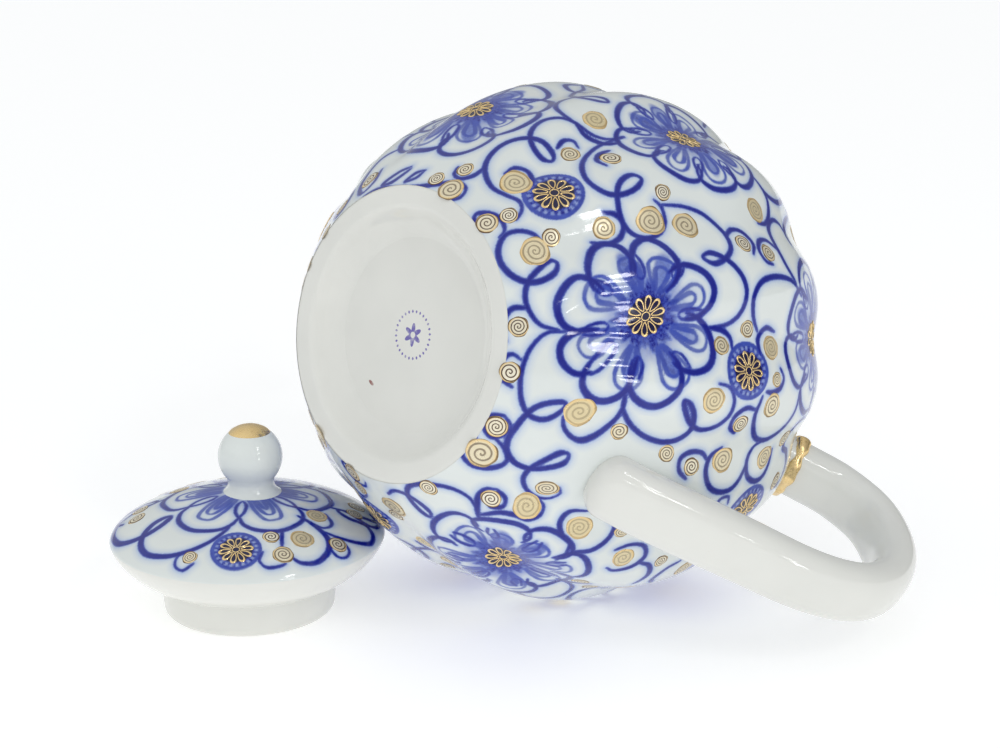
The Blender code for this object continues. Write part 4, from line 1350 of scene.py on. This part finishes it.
def make_knob(white, gold):
    """The ball on its flared neck, and the gilded cap over its top."""
    where = LID @ Matrix.Translation((KNOB_OFF_CENTRE, 0, 0))
    low = -math.acos(0.0061 / KNOB_RADIUS)
    ball = np.linspace(math.pi / 2 - 0.01, low, 40)
    profile = np.stack(
        [KNOB_RADIUS * np.cos(ball), KNOB_CENTRE + KNOB_RADIUS * np.sin(ball)], axis=1
    )
    neck = [
        (0.0058, 0.0340),
        (0.0058, 0.0330),
        (0.0062, 0.0320),
        (0.0070, 0.0311),
        (0.0080, 0.0304),
    ]
    line = resampled(spline(np.vstack([profile, neck]), 0.0004), 0.0004)
    grid, faces = turned(line, 96)
    mesh = mesh_of("knob_ball", grid, faces)
    mesh.flip_normals()
    add_object("knob_ball", mesh, "lid", where, white, ["lid_knob"])
    cap = np.linspace(math.pi / 2 - 0.01, KNOB_GILDING, 24)
    lifted = KNOB_RADIUS + GILDING * (1 - smoothstep(0.86, 1.0, np.linspace(0, 1, 24)))
    profile = np.stack([lifted * np.cos(cap), KNOB_CENTRE + lifted * np.sin(cap)], axis=1)
    grid, faces = turned(profile, 96)
    mesh = mesh_of("knob_cap", grid, faces)
    mesh.flip_normals()
    add_object("knob_cap", mesh, "lid", where, gold, ["knob_gilding"])


# ---- stage

CAMERA_FROM_POT = Vector((-0.01584, -0.54159, 0.14725))
CAMERA_TILT = math.radians(73.93)
LENS = 79.2


def make_camera():
    data = bpy.data.cameras.new("camera")
    data.lens = LENS
    data.sensor_width = 36.0
    data.clip_start = 0.01
    camera = bpy.data.objects.new("camera", data)
    bpy.context.scene.collection.objects.link(camera)
    camera.location = POT_CENTRE + CAMERA_FROM_POT
    camera.rotation_euler = (CAMERA_TILT, 0, 0)
    bpy.context.scene.camera = camera
    return camera.location


# Lamps that the camera sees mirrored in the glaze: where on the pot's wall, and their size.
GLINTS = (
    ((-51, 127.5), 0.03, 0.06), ((-48.4, 127), 0.026, 0.07), ((-44.3, 126.3), 0.03, 0.075),
    ((-40.3, 126.5), 0.03, 0.075), ((-37.1, 128), 0.03, 0.08), ((-33.9, 131), 0.05, 0.08),
    ((-30.2, 128.4), 0.028, 0.08), ((-27, 126), 0.028, 0.08), ((-38, 137.2), 0.06, 0.045),
    ((-44.5, 137.8), 0.02, 0.02), ((-48, 138.4), 0.016, 0.02), ((-67, 128), 0.09, 0.11),
)
GLINT_FAR = 0.9
GLINT_RADIANCE = 15.0


def make_glints(camera):
    """Each lamp stands where the line from the camera's place is mirrored by its spot."""
    for i, (place, across, along) in enumerate(GLINTS):
        near = np.radians([place, (place[0] + 0.3, place[1]), (place[0], place[1] - 0.3)])
        spots = wall_points(unit(near[:, 0], near[:, 1]))
        spot, right, up = (POT @ Vector(p) for p in spots)
        normal = (right - spot).cross(up - spot).normalized()
        if normal.dot(camera - spot) < 0:
            normal = -normal
        seen = (spot - camera).normalized()
        away = seen.reflect(normal)
        data = bpy.data.lights.new("glint_%02d" % i, "AREA")
        data.shape = "RECTANGLE"
        data.size, data.size_y = along, across
        data.energy = GLINT_RADIANCE * math.pi * across * along
        light = bpy.data.objects.new("glint_%02d" % i, data)
        bpy.context.scene.collection.objects.link(light)
        light.location = spot + away * GLINT_FAR
        level = Vector((0, 0, 1)).cross(away).normalized()
        upward = away.cross(level)
        light.rotation_euler = Matrix((level, upward, away)).transposed().to_euler()


def make_stage():
    """Soft light, brightest from above on the left, and a pale floor."""
    world = bpy.data.worlds.new("studio")
    world.use_nodes = True
    tree = world.node_tree
    place = tree.nodes.new("ShaderNodeTexCoord").outputs["Generated"]
    facing = tree.nodes.new("ShaderNodeVectorMath")
    facing.operation = "DOT_PRODUCT"
    facing.inputs[1].default_value = (-0.55, -0.20, 0.81)
    tree.links.new(place, facing.inputs[0])
    rise = tree.nodes.new("ShaderNodeMapRange")
    rise.inputs[1].default_value = -0.7
    rise.inputs[2].default_value = 1.0
    rise.inputs[3].default_value = 0.16
    rise.inputs[4].default_value = 0.90
    tree.links.new(facing.outputs["Value"], rise.inputs[0])
    tree.links.new(rise.outputs[0], tree.nodes["Background"].inputs["Strength"])
    tree.nodes["Background"].inputs["Color"].default_value = (0.97, 0.99, 1, 1)
    bpy.context.scene.world = world
    nodes = Nodes("pale_floor")
    nodes.set("Base Color", (0.90, 0.90, 0.90, 1))
    nodes.set("Emission Color", (1, 1, 1, 1))
    nodes.set("Emission Strength", 0.36)
    nodes.set("Roughness", 0.6)
    nodes.set("Specular IOR Level", 0.2)
    corners = np.array([[-3, -3, 0], [3, -3, 0], [3, 3, 0], [-3, 3, 0]], float)
    mesh = mesh_of("floor", corners, np.array([[0, 1, 2, 3]]))
    mesh.materials.append(nodes.material)
    floor = bpy.data.objects.new("floor", mesh)
    bpy.context.scene.collection.objects.link(floor)
    bpy.context.scene.view_settings.view_transform = "Standard"


def main():
    white = white_material("white_porcelain", WARM_WHITE)
    painted = painted_material()
    gold = gold_material()
    spirals = spiral_material()
    art = make_wall(painted)
    make_base(marked_material())
    make_inside(white)
    make_handle(white)
    make_collar(gold)
    make_spout(painted, gold)
    spiral_discs(art, "pot_spirals", "pot", POT, spirals)
    gold_threads(art, "pot_rosettes", "pot", POT, gold)
    art = make_lid(painted, white)
    spiral_discs(art, "lid_spirals", "lid", LID, spirals)
    gold_threads(art, "lid_rosettes", "lid", LID, gold)
    make_knob(white_material("knob_porcelain", COOL_WHITE), gold)
    make_glints(make_camera())
    make_stage()


main()
